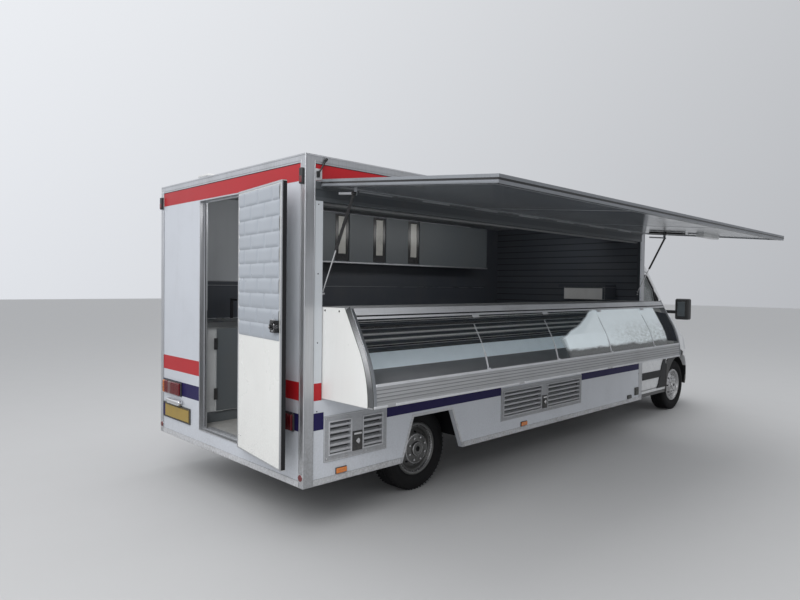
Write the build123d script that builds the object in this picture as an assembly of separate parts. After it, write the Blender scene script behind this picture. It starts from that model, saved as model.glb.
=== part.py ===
"""Food truck: a low box body with a fold-up canopy and a sliding glass showcase, behind a van cab.

Millimetres. The body is built with its rear face at X 0, forward +X, left +Y and the ground at Z 0,
and the cab from its own rear face. All is then moved so that the middle of the whole footprint,
canopy open, is the origin.
"""

from build123d import *
from functools import lru_cache
import math
import os

os.makedirs("parts", exist_ok=True)

# Body shell
BODY_LENGTH = 5070.0
BODY_WIDTH = 2250.0
BODY_TOP = 2593.0
SKIRT_BOTTOM = 345.0
WALL = 40.0
PROFILE = 3.0
FLOOR_TOP = 500.0
FLOOR_THICK = 42.0
END_POST_LEG = 50.0
SIDE_POST_LEG = 80.0
ROOF_TRIM_HEIGHT = 48.0
ROOF_TRIM_LIP = 40.0
SKIRT_TRIM_HEIGHT = 45.0
RUN_GAP = 0.3

# Wheels, seen from the middle of the axle
TYRE_RADIUS = 349.0
TYRE_WIDTH = 205.0
TREAD_SHOULDER = 36.0
SIDEWALL_BULGE = 60.0
RIM_RADIUS = 222.0
RIM_WIDTH = 168.0
WHEEL_Y = 806.0
BORE_RADIUS = 34.0
HUB_GAP = 0.3
HUB_DISC_RADIUS = 80.0
HUB_DISC_IN = 26.0
STUB_BEYOND = 30.0
NUT_CIRCLE_RADIUS = 97.5
NUT_RADIUS = 11.0
NUT_COUNT = 8

# Rear axle and its arch, named columns of the arch: distance ahead of the axle, z
REAR_AXLE_X = 1317.0
ARCH_TABLE = ((-398.0, 300.0), (-261.0, 687.0), (193.0, 687.0), (351.0, 300.0))
ARCH_TRIM = 20.0
WHEEL_BOX_LENGTH = 850.0
WHEEL_BOX_INNER_Y = 595.0
WHEEL_BOX_TOP = 752.0
SHEET = 12.0
AXLE_TUBE_RADIUS = 52.0
AXLE_TUBE_END = 613.5
ARM_LENGTH = 200.0
ARM_WIDTH = 65.0

# Front axle, placed from the cab's rear face
FRONT_AXLE_AHEAD = 1480.0
KINGPIN_Y = 660.0
KNUCKLE_BOTTOM = 262.0
KNUCKLE_TOP = 450.0
STRUT_LEG_RADIUS = 24.0
WELL_RADIUS = 440.0
WELL_INNER_Y = 470.0
WELL_SKIN = 8.0
LOWER_ARM_THICK = 26.0

# Rear door
DOOR_RIGHT = -368.0
DOOR_WIDTH = 730.0
DOOR_BOTTOM = 497.0
DOOR_TOP_BELOW_ROOF = 197.0
DOOR_THICK = 34.0
DOOR_GAP = 5.0
DOOR_FRAME_WALL = 8.0
DOOR_FRAME_DEPTH = 55.0
DOOR_LIP = 24.0
DOOR_HINGE_OUT = 14.0
DOOR_HINGE_SIDE = 10.0
DOOR_HINGE_RADIUS = 7.0
DOOR_HINGE_LENGTH = 100.0
DOOR_OPEN = 172.0
LOCK_FROM_EDGE = 62.0
LOCK_ABOVE_BOTTOM = 945.0
LOCK_WIDTH = 72.0
LOCK_DEPTH = 34.0
LOCK_HEIGHT = 80.0
LOCK_CLEARANCE = 8.0

# Serving hatch
HATCH_START = 150.0
HATCH_FRONT_POST = 100.0
HATCH_SILL = 930.0
HATCH_HEADER = 306.0
HATCH_RAIL = 24.0

# Canopy, drawn level
CANOPY_OVER_REAR = 40.0
CANOPY_OVER_FRONT = 110.0
CANOPY_REACH = 1494.0
CANOPY_THICK = 44.0
CANOPY_EDGE = 62.0
CANOPY_SKIN = 4.0
CANOPY_DROOP = 5.3
CANOPY_CLOSED_GAP = 11.0
CANOPY_HINGE_BELOW_ROOF = 208.0
CANOPY_HINGE_SETBACK = 14.0
HINGE_RADIUS = 8.0
HINGE_LEAF = 4.0
HINGE_RAIL_HEIGHT = 50.0
HINGE_COUNT = 15
CANOPY_LAMP_LENGTH = 440.0
CANOPY_LAMP_ALONG = 820.0
CANOPY_LAMP_FROM_POST = 45.0

# Gas struts, placed on the canopy from its hinge and on the post below it
STRUT_ALONG = 290.0
STRUT_BELOW = 45.0
STRUT_FOOT_IN = 30.0
STRUT_FOOT_BELOW_HINGE = 725.0
STRUT_RADIUS = 11.0
STRUT_ROD_RADIUS = 5.0
STRUT_BORE_GAP = 0.05
STRUT_CYLINDER = 395.0
STRUT_HEAD = 8.0
STRUT_EYE = 12.0
STRUT_EYE_WIDTH = 24.0
STRUT_EAR = 5.0
STRUT_FROM_POST = 20.0
STRUT_INSERT = 20.0

# Showcase, its profile as distance out from the wall plane and height
CASE_FROM_REAR_POST = 7.0
CASE_FROM_FRONT_POST = 70.0
CASE_ABOVE_SILL = 11.0
CASE_TOP_OUT = 291.0
CASE_KNEE_OUT = 447.0
CASE_LIP_OUT = 526.0
CASE_HEIGHT = 626.0
CASE_KNEE_HEIGHT = 350.0
CASE_BULGE = 23.0
CASE_BAND = 56.0
CASE_CHEEK = 25.0
CASE_BACK_IN = 120.0
CASE_BOARD = 14.0
FASCIA_HEIGHT = 149.0
FASCIA_DEPTH = 26.0
FASCIA_GROOVES = 4
FASCIA_GROOVE = 8.0
DECK_FRONT_HEIGHT = 125.0
DECK_BACK_HEIGHT = 179.0
RACK_HEIGHT = 264.0
RACK_SLATS = 9
CASE_RAIL = 30.0
CASE_RAIL_DEPTH = 58.0
BACK_RAIL_DEPTH = 20.0
GLASS = 6.0
GLASS_JOINTS = (1332.0, 2310.0, 3270.0, 4230.0)
PANE_JOINT = 3.0

# Side vents, named columns: start x, end x, bottom z, top z, latch x, border
VENTS = ((172.0, 762.0, 492.0, 813.0, 471.0, 50.0), (2192.0, 3615.0, 484.0, 787.0, 2903.5, 42.0))
VENT_NECK = 8.0
VENT_LATCH = 120.0
VENT_SLAT_PITCH = 38.0
VENT_SLAT = (30.0, 3.0)
VENT_TILT = 32.0

# Inside fittings
COUNTER_FRONT_Y = 500.0
COUNTER_START = 60.0
COUNTER_FROM_FRONT = 370.0
COUNTER_TOP = 1375.0
COUNTER_SLAB = 40.0
COUNTER_NOSE = 25.0
PLINTH_HEIGHT = 75.0
PLINTH_SETBACK = 50.0
CARCASS = 18.0
CABINET_DOOR = 480.0
CABINET_DOOR_PITCH = 690.0
CABINET_DOOR_FIRST = 210.0
UPSTAND = 325.0
SHELF_FRONT_Y = 800.0
SHELF_HEIGHT = 530.0
SHELF_BELOW_CEILING = 50.0
SHELF_START = 1000.0
SHELF_FROM_FRONT = 670.0
SINK_START = 420.0
SINK_LENGTH = 420.0
SINK_WIDTH = 320.0
SINK_DEPTH = 150.0
SINK_MIDDLE_Y = 770.0
SINK_SHEET = 3.0
TAP_HEIGHT = 200.0
TAP_REACH = 190.0
WALL_BOX = (287.0, 566.0, 150.0)
WALL_BOX_Y = -784.0
WALL_BOX_ABOVE_CASE = 6.0

# Lamps and plate, placed in from the body's sides and up from the ground
TAIL_LAMP = (37.0, 368.0, 121.0)
TAIL_LAMP_FROM_SIDE = 57.0
TAIL_LAMP_Z = 719.0
PLATE = (12.0, 532.0, 136.0)
PLATE_FROM_SIDE = 63.0
PLATE_Z = 498.0
PLATE_LAMP = (51.0, 264.0, 38.0)
PLATE_LAMP_FROM_SIDE = 189.0
PLATE_LAMP_ABOVE = 14.0
REFLECTOR_RADIUS = 27.0
REFLECTOR_FROM_SIDE = 28.0
REFLECTOR_ABOVE_SKIRT = 70.0
TOP_LAMP = (26.0, 36.0, 107.0)
TOP_LAMP_BELOW_ROOF = 98.0
TOP_LAMP_FROM_SIDE = 8.0
SIDE_LAMP_X = (326.0, 2556.0)
SIDE_LAMP_FROM_FRONT = 330.0
SIDE_LAMP = (96.0, 14.0, 40.0)
SIDE_LAMP_Z = 396.0
INLET = (92.0, 12.0, 93.0)
INLET_FROM_FRONT = 190.0
INLET_Z = 417.0

# Chassis
RAIL_Y = 410.0
RAIL_WIDTH = 80.0
RAIL_BOTTOM = 338.0
RAIL_START = 90.0
RAIL_INTO_CAB = 1875.0
CROSS_X = (400.0, 2200.0, 3300.0, 4300.0)
CROSS_INTO_CAB = 425.0
CROSS_WIDTH = 60.0
CROSS_SETBACK = 20.0
OUTRIGGER_X = (250.0, 2100.0, 3200.0, 4200.0)
OUTRIGGER_FROM_FRONT = 170.0
OUTRIGGER = (40.0, 60.0)

# Cab, measured from its own rear face
CAB_GAP = 5.0
CAB_HALF = 985.0
CAB_SKIN = 40.0
CAB_BELT = 1392.0
BONNET_TOP = 1400.0
GLASS_INSET = 10.0
DOOR_SEAM = 7.0
CAB_DOOR_REAR = 70.0
CAB_DOOR_FRONT = 1010.0
CAB_DOOR_BOTTOM = 395.0
CAB_DOOR_INNER_Y = 840.0
CAB_DOOR_LEAN = 12.0
CAB_HINGE_Z = (700.0, 1180.0)
CAB_HINGE_RADIUS = 6.0
CAB_HINGE_LENGTH = 44.0
CAB_HINGE_LEAF = 46.0
MIRROR_OUT = 405.0
NOSE_AHEAD = 2365.0
ENGINE = (420.0, 660.0, 460.0)
ENGINE_AHEAD = 1545.0

# Cab outlines, one for each y, named columns: x and z of sill rear, roof rear, roof front,
# windscreen top, windscreen foot, bonnet edge, grille foot, bumper top, nose foot, floor front
CAB_SECTIONS = (
    (CAB_HALF, ((0, 310), (0, 1340), (425, 1345), (625, 1350), (1155, 1335),
                (1565, 1065), (1664, 800), (1700, 640), (1700, 460), (1035, 310))),
    (880.0, ((0, 310), (0, 2050), (405, 2060), (575, 2000), (1255, 1425),
             (1805, 1065), (1935, 805), (2005, 640), (2005, 460), (1035, 310))),
    (600.0, ((0, 458), (0, 2110), (445, 2125), (655, 2055), (1385, 1430),
             (1965, 1078), (2145, 800), (2245, 640), (2225, 458), (1425, 458))),
    (0.0, ((0, 458), (0, 2130), (475, 2150), (705, 2075), (1465, 1430),
           (2035, 1085), (2225, 800), (2345, 640), (2325, 458), (1425, 458))),
)
# Bumper, named columns: y, back x, front x
BUMPER_SECTIONS = ((900.0, 1905, 1948), (820.0, 1937, 2090), (600.0, 2125, 2300), (0.0, 2215, NOSE_AHEAD))
BUMPER_BOTTOM = 330.0
BUMPER_TOP = 690.0

# Places that follow from the sizes
WALL_Y = BODY_WIDTH / 2
PANEL_Y = WALL_Y - PROFILE
INNER_Y = PANEL_Y - WALL
FLOOR_BOTTOM = FLOOR_TOP - FLOOR_THICK
PANEL_TOP = BODY_TOP - PROFILE
CEILING = PANEL_TOP - WALL
HATCH_END = BODY_LENGTH - HATCH_FRONT_POST
HATCH_TOP = BODY_TOP - HATCH_HEADER
DOOR_TOP = BODY_TOP - DOOR_TOP_BELOW_ROOF
DOOR_LEFT = DOOR_RIGHT + DOOR_WIDTH
DOOR_AXIS_X = -DOOR_HINGE_OUT
DOOR_AXIS_Y = DOOR_RIGHT - DOOR_HINGE_SIDE
CANOPY_START = HATCH_START - CANOPY_OVER_REAR
CANOPY_END = HATCH_END + CANOPY_OVER_FRONT
CANOPY_AXIS_Y = -(WALL_Y + CANOPY_CLOSED_GAP)
CANOPY_HINGE_Z = BODY_TOP - CANOPY_HINGE_BELOW_ROOF
CANOPY_NEAR_Y = CANOPY_AXIS_Y - CANOPY_HINGE_SETBACK
CANOPY_FAR_Y = CANOPY_AXIS_Y - CANOPY_REACH
STRUT_FOOT_Z = CANOPY_HINGE_Z - STRUT_FOOT_BELOW_HINGE
CASE_START = HATCH_START + CASE_FROM_REAR_POST
CASE_END = HATCH_END - CASE_FROM_FRONT_POST
CASE_BOTTOM_Z = HATCH_SILL + CASE_ABOVE_SILL
CASE_TOP_Z = CASE_BOTTOM_Z + CASE_HEIGHT
CASE_KNEE_Z = CASE_BOTTOM_Z + CASE_KNEE_HEIGHT
COUNTER_END = BODY_LENGTH - COUNTER_FROM_FRONT
SHELF_END = BODY_LENGTH - SHELF_FROM_FRONT
SHELF_TOP = CEILING - SHELF_BELOW_CEILING
CAB_REAR = BODY_LENGTH + CAB_GAP
FRONT_AXLE_X = CAB_REAR + FRONT_AXLE_AHEAD
CAB_HINGE_X = CAB_DOOR_FRONT + DOOR_SEAM / 2
CAB_HINGE_Y = CAB_HALF + CAB_HINGE_RADIUS + RUN_GAP

# Overall reach, which sets the origin: the open door's lock, the nose, the canopy and the left mirror
LOCK_OUT = PROFILE + DOOR_THICK + LOCK_DEPTH + DOOR_HINGE_OUT
LOCK_SIDE = DOOR_WIDTH + DOOR_HINGE_SIDE - LOCK_FROM_EDGE + LOCK_WIDTH / 2
OPEN_ANGLE = math.radians(DOOR_OPEN)
REAR_REACH = DOOR_HINGE_OUT + LOCK_SIDE * math.sin(OPEN_ANGLE) - LOCK_OUT * math.cos(OPEN_ANGLE)
DATUM_X = (CAB_REAR + NOSE_AHEAD - REAR_REACH) / 2
DATUM_Y = (CANOPY_FAR_Y + CAB_HALF + MIRROR_OUT) / 2


def block(x0, x1, y0, y1, z0, z1):
    """A box from its two corners."""
    place = Pos((x0 + x1) / 2, (y0 + y1) / 2, (z0 + z1) / 2)
    return place * Box(abs(x1 - x0), abs(y1 - y0), abs(z1 - z0))


def rod(x, y, z, radius, length, along):
    """A round bar that starts at a point and runs along X, Y or Z."""
    turn = {"x": (0, 90, 0), "y": (-90, 0, 0), "z": (0, 0, 0)}[along]
    bar = Cylinder(radius, length, align=(Align.CENTER, Align.CENTER, Align.MIN))
    return Pos(x, y, z) * Rot(*turn) * bar


def side_shape(points, y0, y1):
    """An outline in X and Z, extruded from y0 to y1."""
    outline = Plane.XZ.offset(-y0) * Polygon(*points, align=None)
    return extrude(outline, amount=y1 - y0, dir=(0, 1, 0))


def end_shape(outline, x0, x1):
    """A face drawn as distance out from the right wall and height, extruded from x0 to x1."""
    plane = Plane(origin=(x0, -WALL_Y, 0), x_dir=(0, -1, 0), z_dir=(-1, 0, 0))
    return extrude(plane * outline, amount=x1 - x0, dir=(1, 0, 0))


def other_side(piece):
    """The same piece mirrored to the other side of the vehicle."""
    return mirror(piece, about=Plane.XZ)


def both_sides(piece):
    return piece + other_side(piece)


def joined(pieces):
    """Several pieces as one."""
    first, *others = pieces
    for piece in others:
        first = first + piece
    return first


# Running gear


def tyre():
    """A tyre about the Y axis: flat tread, round shoulders, bead on the rim."""
    half = TYRE_WIDTH / 2
    bead = RIM_WIDTH / 2
    bulge = RIM_RADIUS + SIDEWALL_BULGE
    edge = TYRE_RADIUS - TREAD_SHOULDER + 10
    curve = TYRE_RADIUS - 6
    with BuildSketch(Plane.XZ) as section:
        with BuildLine():
            Polyline((RIM_RADIUS, -bead), (RIM_RADIUS, bead), (RIM_RADIUS + 12, bead + 6))
            ThreePointArc((RIM_RADIUS + 12, bead + 6), (bulge, half), (edge, half - 10))
            ThreePointArc((edge, half - 10), (curve, half - 17), (TYRE_RADIUS, half - TREAD_SHOULDER))
            Line((TYRE_RADIUS, half - TREAD_SHOULDER), (TYRE_RADIUS, TREAD_SHOULDER - half))
            ThreePointArc((TYRE_RADIUS, TREAD_SHOULDER - half), (curve, 17 - half), (edge, 10 - half))
            ThreePointArc((edge, 10 - half), (bulge, -half), (RIM_RADIUS + 12, -bead - 6))
            Line((RIM_RADIUS + 12, -bead - 6), (RIM_RADIUS, -bead))
        make_face()
    return Rot(90, 0, 0) * revolve(section.sketch, Axis.Z)


def rim():
    """A steel wheel about the Y axis with its outside at +Y: rim well, dished trim, hub and nuts."""
    out = RIM_WIDTH / 2
    seat = RIM_RADIUS - HUB_GAP
    # Named columns: radius, distance out
    table = (
        (BORE_RADIUS, 30), (BORE_RADIUS, -12), (108, -12), (125, 6), (176, 6), (192, -out), (seat, -out),
        (seat, out), (RIM_RADIUS - 12, out), (196, 46), (150, 62), (138, 34), (116, 24), (70, 24),
        (66, 40), (58, 44), (BORE_RADIUS, 44),
    )
    section = Plane.XZ * Polygon(*table, align=None)
    wheel = mirror(Rot(90, 0, 0) * revolve(section, Axis.Z), about=Plane.XZ)
    nut = rod(NUT_CIRCLE_RADIUS, 20, 0, NUT_RADIUS, 22, "y")
    vent = rod(164, -out, 0, 13, 3 * out, "y")
    for index in range(NUT_COUNT):
        wheel += Rot(0, index * 360 / NUT_COUNT, 0) * nut
        wheel -= Rot(0, (index + 0.5) * 360 / NUT_COUNT, 0) * vent
    return wheel


def hub(start_y):
    """A left stub axle with its brake disc, from start_y outwards, about the wheel's own axis."""
    stub = rod(0, start_y, TYRE_RADIUS, BORE_RADIUS - HUB_GAP, WHEEL_Y + STUB_BEYOND - start_y, "y")
    disc_end = WHEEL_Y - HUB_DISC_IN
    disc = rod(0, start_y + 40, TYRE_RADIUS, HUB_DISC_RADIUS, disc_end - start_y - 40, "y")
    return stub + disc


def knuckle():
    """The left front knuckle: upright, strut leg, brake disc and stub axle."""
    upright = block(-45, 45, KINGPIN_Y - 32, KINGPIN_Y + 40, KNUCKLE_BOTTOM, KNUCKLE_TOP)
    leg_top = TYRE_RADIUS + math.sqrt(WELL_RADIUS**2 - STRUT_LEG_RADIUS**2) - RUN_GAP
    leg = rod(0, KINGPIN_Y, KNUCKLE_TOP - 10, STRUT_LEG_RADIUS, leg_top - KNUCKLE_TOP + 10, "z")
    return upright + leg + hub(KINGPIN_Y)


def front_suspension():
    """The crossmember under the rails with a lower arm to each knuckle."""
    arm_top = KNUCKLE_BOTTOM - RUN_GAP
    arm_bottom = arm_top - LOWER_ARM_THICK
    beam = block(-100, 100, -RAIL_Y - 40, RAIL_Y + 40, arm_bottom, RAIL_BOTTOM)
    arm = block(-90, 90, RAIL_Y + 30, 600, arm_bottom, arm_top)
    tip = block(-35, 35, 590, KINGPIN_Y + 20, arm_bottom, arm_top)
    return beam + both_sides(arm + tip)


def rear_axle():
    """The torsion axle: tube under the rails, trailing arms, brake discs and stub axles."""
    tube_z = RAIL_BOTTOM - AXLE_TUBE_RADIUS
    tube = rod(ARM_LENGTH, -AXLE_TUBE_END, tube_z, AXLE_TUBE_RADIUS, 2 * AXLE_TUBE_END, "y")
    arm_outline = (
        (-55, TYRE_RADIUS - 45), (-55, TYRE_RADIUS + 45), (45, TYRE_RADIUS + 48),
        (ARM_LENGTH + 60, tube_z + 50), (ARM_LENGTH + 60, tube_z - 55), (ARM_LENGTH - 40, tube_z - 60),
    )
    arm_start = AXLE_TUBE_END - 20
    arm = side_shape(arm_outline, arm_start, arm_start + ARM_WIDTH)
    seat = block(ARM_LENGTH - 70, ARM_LENGTH + 70, RAIL_Y - 38, RAIL_Y + 38, tube_z, RAIL_BOTTOM)
    return tube + both_sides(arm + hub(AXLE_TUBE_END) + seat)


def chassis_rails():
    """The two long rails that run under the body and the cab."""
    half = RAIL_WIDTH / 2
    end = CAB_REAR + RAIL_INTO_CAB
    return both_sides(block(RAIL_START, end, RAIL_Y - half, RAIL_Y + half, RAIL_BOTTOM, FLOOR_BOTTOM))


def cross_members():
    """Cross members between the rails and outriggers that carry the skirts."""
    inside = RAIL_Y - RAIL_WIDTH / 2
    outside = RAIL_Y + RAIL_WIDTH / 2
    low = RAIL_BOTTOM + CROSS_SETBACK
    high = FLOOR_BOTTOM - CROSS_SETBACK
    members = []
    for x in CROSS_X + (CAB_REAR + CROSS_INTO_CAB,):
        members.append(block(x - CROSS_WIDTH / 2, x + CROSS_WIDTH / 2, -inside, inside, low, high))
    length, height = OUTRIGGER
    for x in OUTRIGGER_X + (BODY_LENGTH - OUTRIGGER_FROM_FRONT,):
        reach = (outside, INNER_Y - RUN_GAP, FLOOR_BOTTOM - height, FLOOR_BOTTOM)
        members.append(both_sides(block(x - length / 2, x + length / 2, *reach)))
    return joined(members)


# Body


def arch_outline(grow):
    """The rear wheel arch outline, larger by grow."""
    (x0, z0), (x1, z1), (x2, z2), (x3, z3) = [(REAR_AXLE_X + ahead, z) for ahead, z in ARCH_TABLE]
    lean = math.hypot(x1 - x0, z1 - z0) / (z1 - z0) * grow
    corner = grow * 0.7
    return ((x0 - lean, z0), (x1 - corner, z1 + grow), (x2 + corner, z2 + grow), (x3 + lean, z3))


def wheel_box(skin):
    """The space over the left rear wheel, larger by skin."""
    half = WHEEL_BOX_LENGTH / 2 + skin
    top = WHEEL_BOX_TOP + skin
    return block(REAR_AXLE_X - half, REAR_AXLE_X + half, WHEEL_BOX_INNER_Y - skin, INNER_Y, FLOOR_BOTTOM, top)


def door_frame_block():
    """The whole box that the rear door's frame takes up."""
    grow = DOOR_GAP + DOOR_FRAME_WALL
    sides = (DOOR_RIGHT - grow, DOOR_LEFT + grow)
    return block(0, DOOR_FRAME_DEPTH, *sides, DOOR_BOTTOM - grow, DOOR_TOP + grow)


def body_floor():
    """The floor panel with a sheet box over each rear wheel."""
    front = BODY_LENGTH - PROFILE - WALL
    floor = block(PROFILE + WALL, front, -INNER_Y, INNER_Y, FLOOR_BOTTOM, FLOOR_TOP)
    return floor - door_frame_block() + both_sides(wheel_box(SHEET)) - both_sides(wheel_box(0))


def roof_panel():
    return block(PROFILE, BODY_LENGTH - PROFILE, -PANEL_Y, PANEL_Y, CEILING, PANEL_TOP)


def rear_wall():
    """The rear panel with the hole for the door frame."""
    wall = block(PROFILE, PROFILE + WALL, -INNER_Y, INNER_Y, SKIRT_BOTTOM + PROFILE, CEILING)
    return wall - door_frame_block()


def lock_box(x0, x1, grow):
    """The lock case's place on the closed door between x0 and x1, larger by grow."""
    y = DOOR_LEFT - LOCK_FROM_EDGE
    z = DOOR_BOTTOM + LOCK_ABOVE_BOTTOM
    half = LOCK_WIDTH / 2 + grow
    return block(x0, x1, y - half, y + half, z - LOCK_HEIGHT / 2 - grow, z + LOCK_HEIGHT / 2 + grow)


def door_frame():
    """The rebated frame around the rear doorway with a pocket for the lock and the fixed hinge halves."""
    stop_x = PROFILE + DOOR_THICK + DOOR_GAP
    low = DOOR_BOTTOM - DOOR_GAP
    pocket = block(-10, stop_x, DOOR_RIGHT - DOOR_GAP, DOOR_LEFT + DOOR_GAP, low, DOOR_TOP + DOOR_GAP)
    opening_top = DOOR_TOP - 6
    opening = block(-10, 100, DOOR_RIGHT + DOOR_LIP, DOOR_LEFT - DOOR_LIP, FLOOR_TOP, opening_top)
    frame = door_frame_block() - pocket - opening - lock_box(stop_x - 1, DOOR_FRAME_DEPTH + 1, LOCK_CLEARANCE)
    for z in door_hinge_places():
        bottom = z - 30 - RUN_GAP
        knuckle_low = rod(DOOR_AXIS_X, DOOR_AXIS_Y, bottom, DOOR_HINGE_RADIUS, 30, "z")
        web = block(DOOR_AXIS_X, 0, DOOR_AXIS_Y - 7, DOOR_AXIS_Y - 2, bottom, bottom + 30)
        foot = block(-3, 0, DOOR_AXIS_Y - 50, DOOR_AXIS_Y - 2, bottom, bottom + 30)
        frame += knuckle_low + web + foot
    return frame


def front_wall():
    outside = BODY_LENGTH - PROFILE
    return block(outside - WALL, outside, -INNER_Y, INNER_Y, FLOOR_BOTTOM, CEILING)


def left_wall():
    """The street side panel with the wheel arch cut."""
    wall = block(PROFILE, BODY_LENGTH - PROFILE, INNER_Y, PANEL_Y, SKIRT_BOTTOM + PROFILE, CEILING)
    return wall - side_shape(arch_outline(0), INNER_Y - 10, PANEL_Y + 10)


def right_wall():
    """The serving side panel with the hatch, the wheel arch and the vents cut."""
    wall = other_side(left_wall())
    wall -= block(HATCH_START, HATCH_END, -PANEL_Y - 10, -INNER_Y + 10, HATCH_SILL, HATCH_TOP)
    for start, end, bottom, top, _, _ in VENTS:
        inside = (start + VENT_NECK, end - VENT_NECK, -PANEL_Y - 10, -INNER_Y + 10)
        wall -= block(*inside, bottom + VENT_NECK, top - VENT_NECK)
    return wall


def corner_profiles():
    """The aluminium corner posts, roof rim and skirt trims in one frame."""
    rim_bottom = BODY_TOP - ROOF_TRIM_HEIGHT
    lip = ROOF_TRIM_LIP
    hollow = block(PROFILE, BODY_LENGTH - PROFILE, -PANEL_Y, PANEL_Y, 0, PANEL_TOP)
    roof_rim = block(0, BODY_LENGTH, -WALL_Y, WALL_Y, rim_bottom, BODY_TOP) - hollow
    roof_rim -= block(lip, BODY_LENGTH - lip, -WALL_Y + lip, WALL_Y - lip, rim_bottom, BODY_TOP + 10)
    skirt_top = SKIRT_BOTTOM + SKIRT_TRIM_HEIGHT
    inner_bottom = SKIRT_BOTTOM + PROFILE
    inner_skirt = block(PROFILE, BODY_LENGTH - PROFILE, -PANEL_Y, PANEL_Y, inner_bottom, skirt_top + 10)
    skirt = block(0, BODY_LENGTH, -WALL_Y, WALL_Y, SKIRT_BOTTOM, skirt_top) - inner_skirt
    skirt -= block(WALL, BODY_LENGTH + 10, -INNER_Y, INNER_Y, SKIRT_BOTTOM - 10, skirt_top + 10)
    skirt -= both_sides(side_shape(arch_outline(0), 0, WALL_Y + 10))
    frame = roof_rim + skirt
    for x, inward in ((0, 1), (BODY_LENGTH, -1)):
        end_leg = block(x, x + inward * PROFILE, WALL_Y - END_POST_LEG, WALL_Y, SKIRT_BOTTOM, BODY_TOP)
        side_leg = block(x, x + inward * SIDE_POST_LEG, PANEL_Y, WALL_Y, SKIRT_BOTTOM, BODY_TOP)
        frame += both_sides(end_leg + side_leg)
    return frame


def arch_trims():
    """The aluminium edging of both rear wheel arches, between the skirt trims."""
    skirt_top = SKIRT_BOTTOM + SKIRT_TRIM_HEIGHT
    band = side_shape(arch_outline(ARCH_TRIM), PANEL_Y, WALL_Y)
    band -= side_shape(arch_outline(0), 0, WALL_Y + 10)
    band -= block(0, BODY_LENGTH, 0, WALL_Y + 10, 0, skirt_top)
    return both_sides(band)


def vent_grilles():
    """The framed louvres low in the serving side: two louvre fields with a latch plate between."""
    slat_depth, slat_thick = VENT_SLAT
    face = -WALL_Y - 1
    back = -INNER_Y - 12
    grilles = []
    for start, end, bottom, top, latch_x, border in VENTS:
        low = bottom + border
        high = top - border
        plate = block(start, end, face, -PANEL_Y, bottom, top)
        neck = (start + VENT_NECK, end - VENT_NECK, -PANEL_Y, back, bottom + VENT_NECK, top - VENT_NECK)
        grille = plate + block(*neck)
        rear_field = (start + border, latch_x - VENT_LATCH / 2)
        front_field = (latch_x + VENT_LATCH / 2, end - border)
        count = int((high - low) // VENT_SLAT_PITCH)
        for x0, x1 in (rear_field, front_field):
            grille -= block(x0, x1, face - 10, back + 10, low, high)
            slat = Rot(VENT_TILT, 0, 0) * Box(x1 - x0, slat_depth, slat_thick)
            for index in range(count):
                z = low + (index + 0.5) * (high - low) / count
                grille += Pos((x0 + x1) / 2, face + 18, z) * slat
        grilles.append(grille)
    return joined(grilles)


# Inside fittings


def sink_space(grow):
    """The room that the basin takes below the worktop's face, larger by grow."""
    y0 = SINK_MIDDLE_Y - SINK_WIDTH / 2 - grow
    y1 = SINK_MIDDLE_Y + SINK_WIDTH / 2 + grow
    x1 = SINK_START + SINK_LENGTH + grow
    return block(SINK_START - grow, x1, y0, y1, COUNTER_TOP - SINK_DEPTH, COUNTER_TOP)


def back_cabinet():
    """The long cabinet along the left wall, open to the wall, with doors and a plinth."""
    x0 = COUNTER_START
    x1 = COUNTER_END
    top = COUNTER_TOP - COUNTER_SLAB
    low = FLOOR_TOP + PLINTH_HEIGHT
    plinth_y = COUNTER_FRONT_Y + PLINTH_SETBACK
    skin = CARCASS
    case = block(x0, x1, COUNTER_FRONT_Y, INNER_Y, low, top)
    case -= block(x0 + skin, x1 - skin, COUNTER_FRONT_Y + skin, INNER_Y + 5, low + skin, top - skin)
    plinth = block(x0, x1, plinth_y, INNER_Y, FLOOR_TOP, low)
    plinth -= block(x0 + skin, x1 - skin, plinth_y + skin, INNER_Y + 5, FLOOR_TOP - 5, low + 5)
    cabinet = case + plinth - wheel_box(SHEET + RUN_GAP) - sink_space(SINK_SHEET + RUN_GAP)
    count = int((x1 - CABINET_DOOR_FIRST) // CABINET_DOOR_PITCH)
    for index in range(count):
        start = CABINET_DOOR_FIRST + index * CABINET_DOOR_PITCH
        end = start + CABINET_DOOR
        cabinet += block(start, end, COUNTER_FRONT_Y - skin, COUNTER_FRONT_Y, low + 20, top - 50)
    return cabinet


def worktop_sink():
    """The steel worktop with its sink, upstand and tap."""
    underside = COUNTER_TOP - COUNTER_SLAB
    x0 = COUNTER_START
    x1 = COUNTER_END
    slab = block(x0, x1, COUNTER_FRONT_Y - COUNTER_NOSE, INNER_Y, underside, COUNTER_TOP)
    upstand = block(x0, x1, INNER_Y - SHEET, INNER_Y, COUNTER_TOP, COUNTER_TOP + UPSTAND)
    basin = Pos(0, 0, SINK_SHEET) * sink_space(0)
    tap_x = SINK_START + SINK_LENGTH / 2
    tap_y = SINK_MIDDLE_Y + SINK_WIDTH / 2 + 40
    spout_z = COUNTER_TOP + TAP_HEIGHT - 14
    post = rod(tap_x, tap_y, COUNTER_TOP - 2, 14, TAP_HEIGHT, "z")
    spout = rod(tap_x, tap_y - TAP_REACH, spout_z, 10, TAP_REACH, "y")
    return slab + sink_space(SINK_SHEET) - basin + upstand + post + spout


def upper_cabinet():
    """The shallow cabinet and menu boards high on the left wall, open to the wall."""
    low = SHELF_TOP - SHELF_HEIGHT
    skin = CARCASS
    case = block(SHELF_START, SHELF_END, SHELF_FRONT_Y, INNER_Y, low, SHELF_TOP)
    inside = (SHELF_START + skin, SHELF_END - skin, SHELF_FRONT_Y + skin, INNER_Y + 5)
    return case - block(*inside, low + skin, SHELF_TOP - skin)


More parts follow.
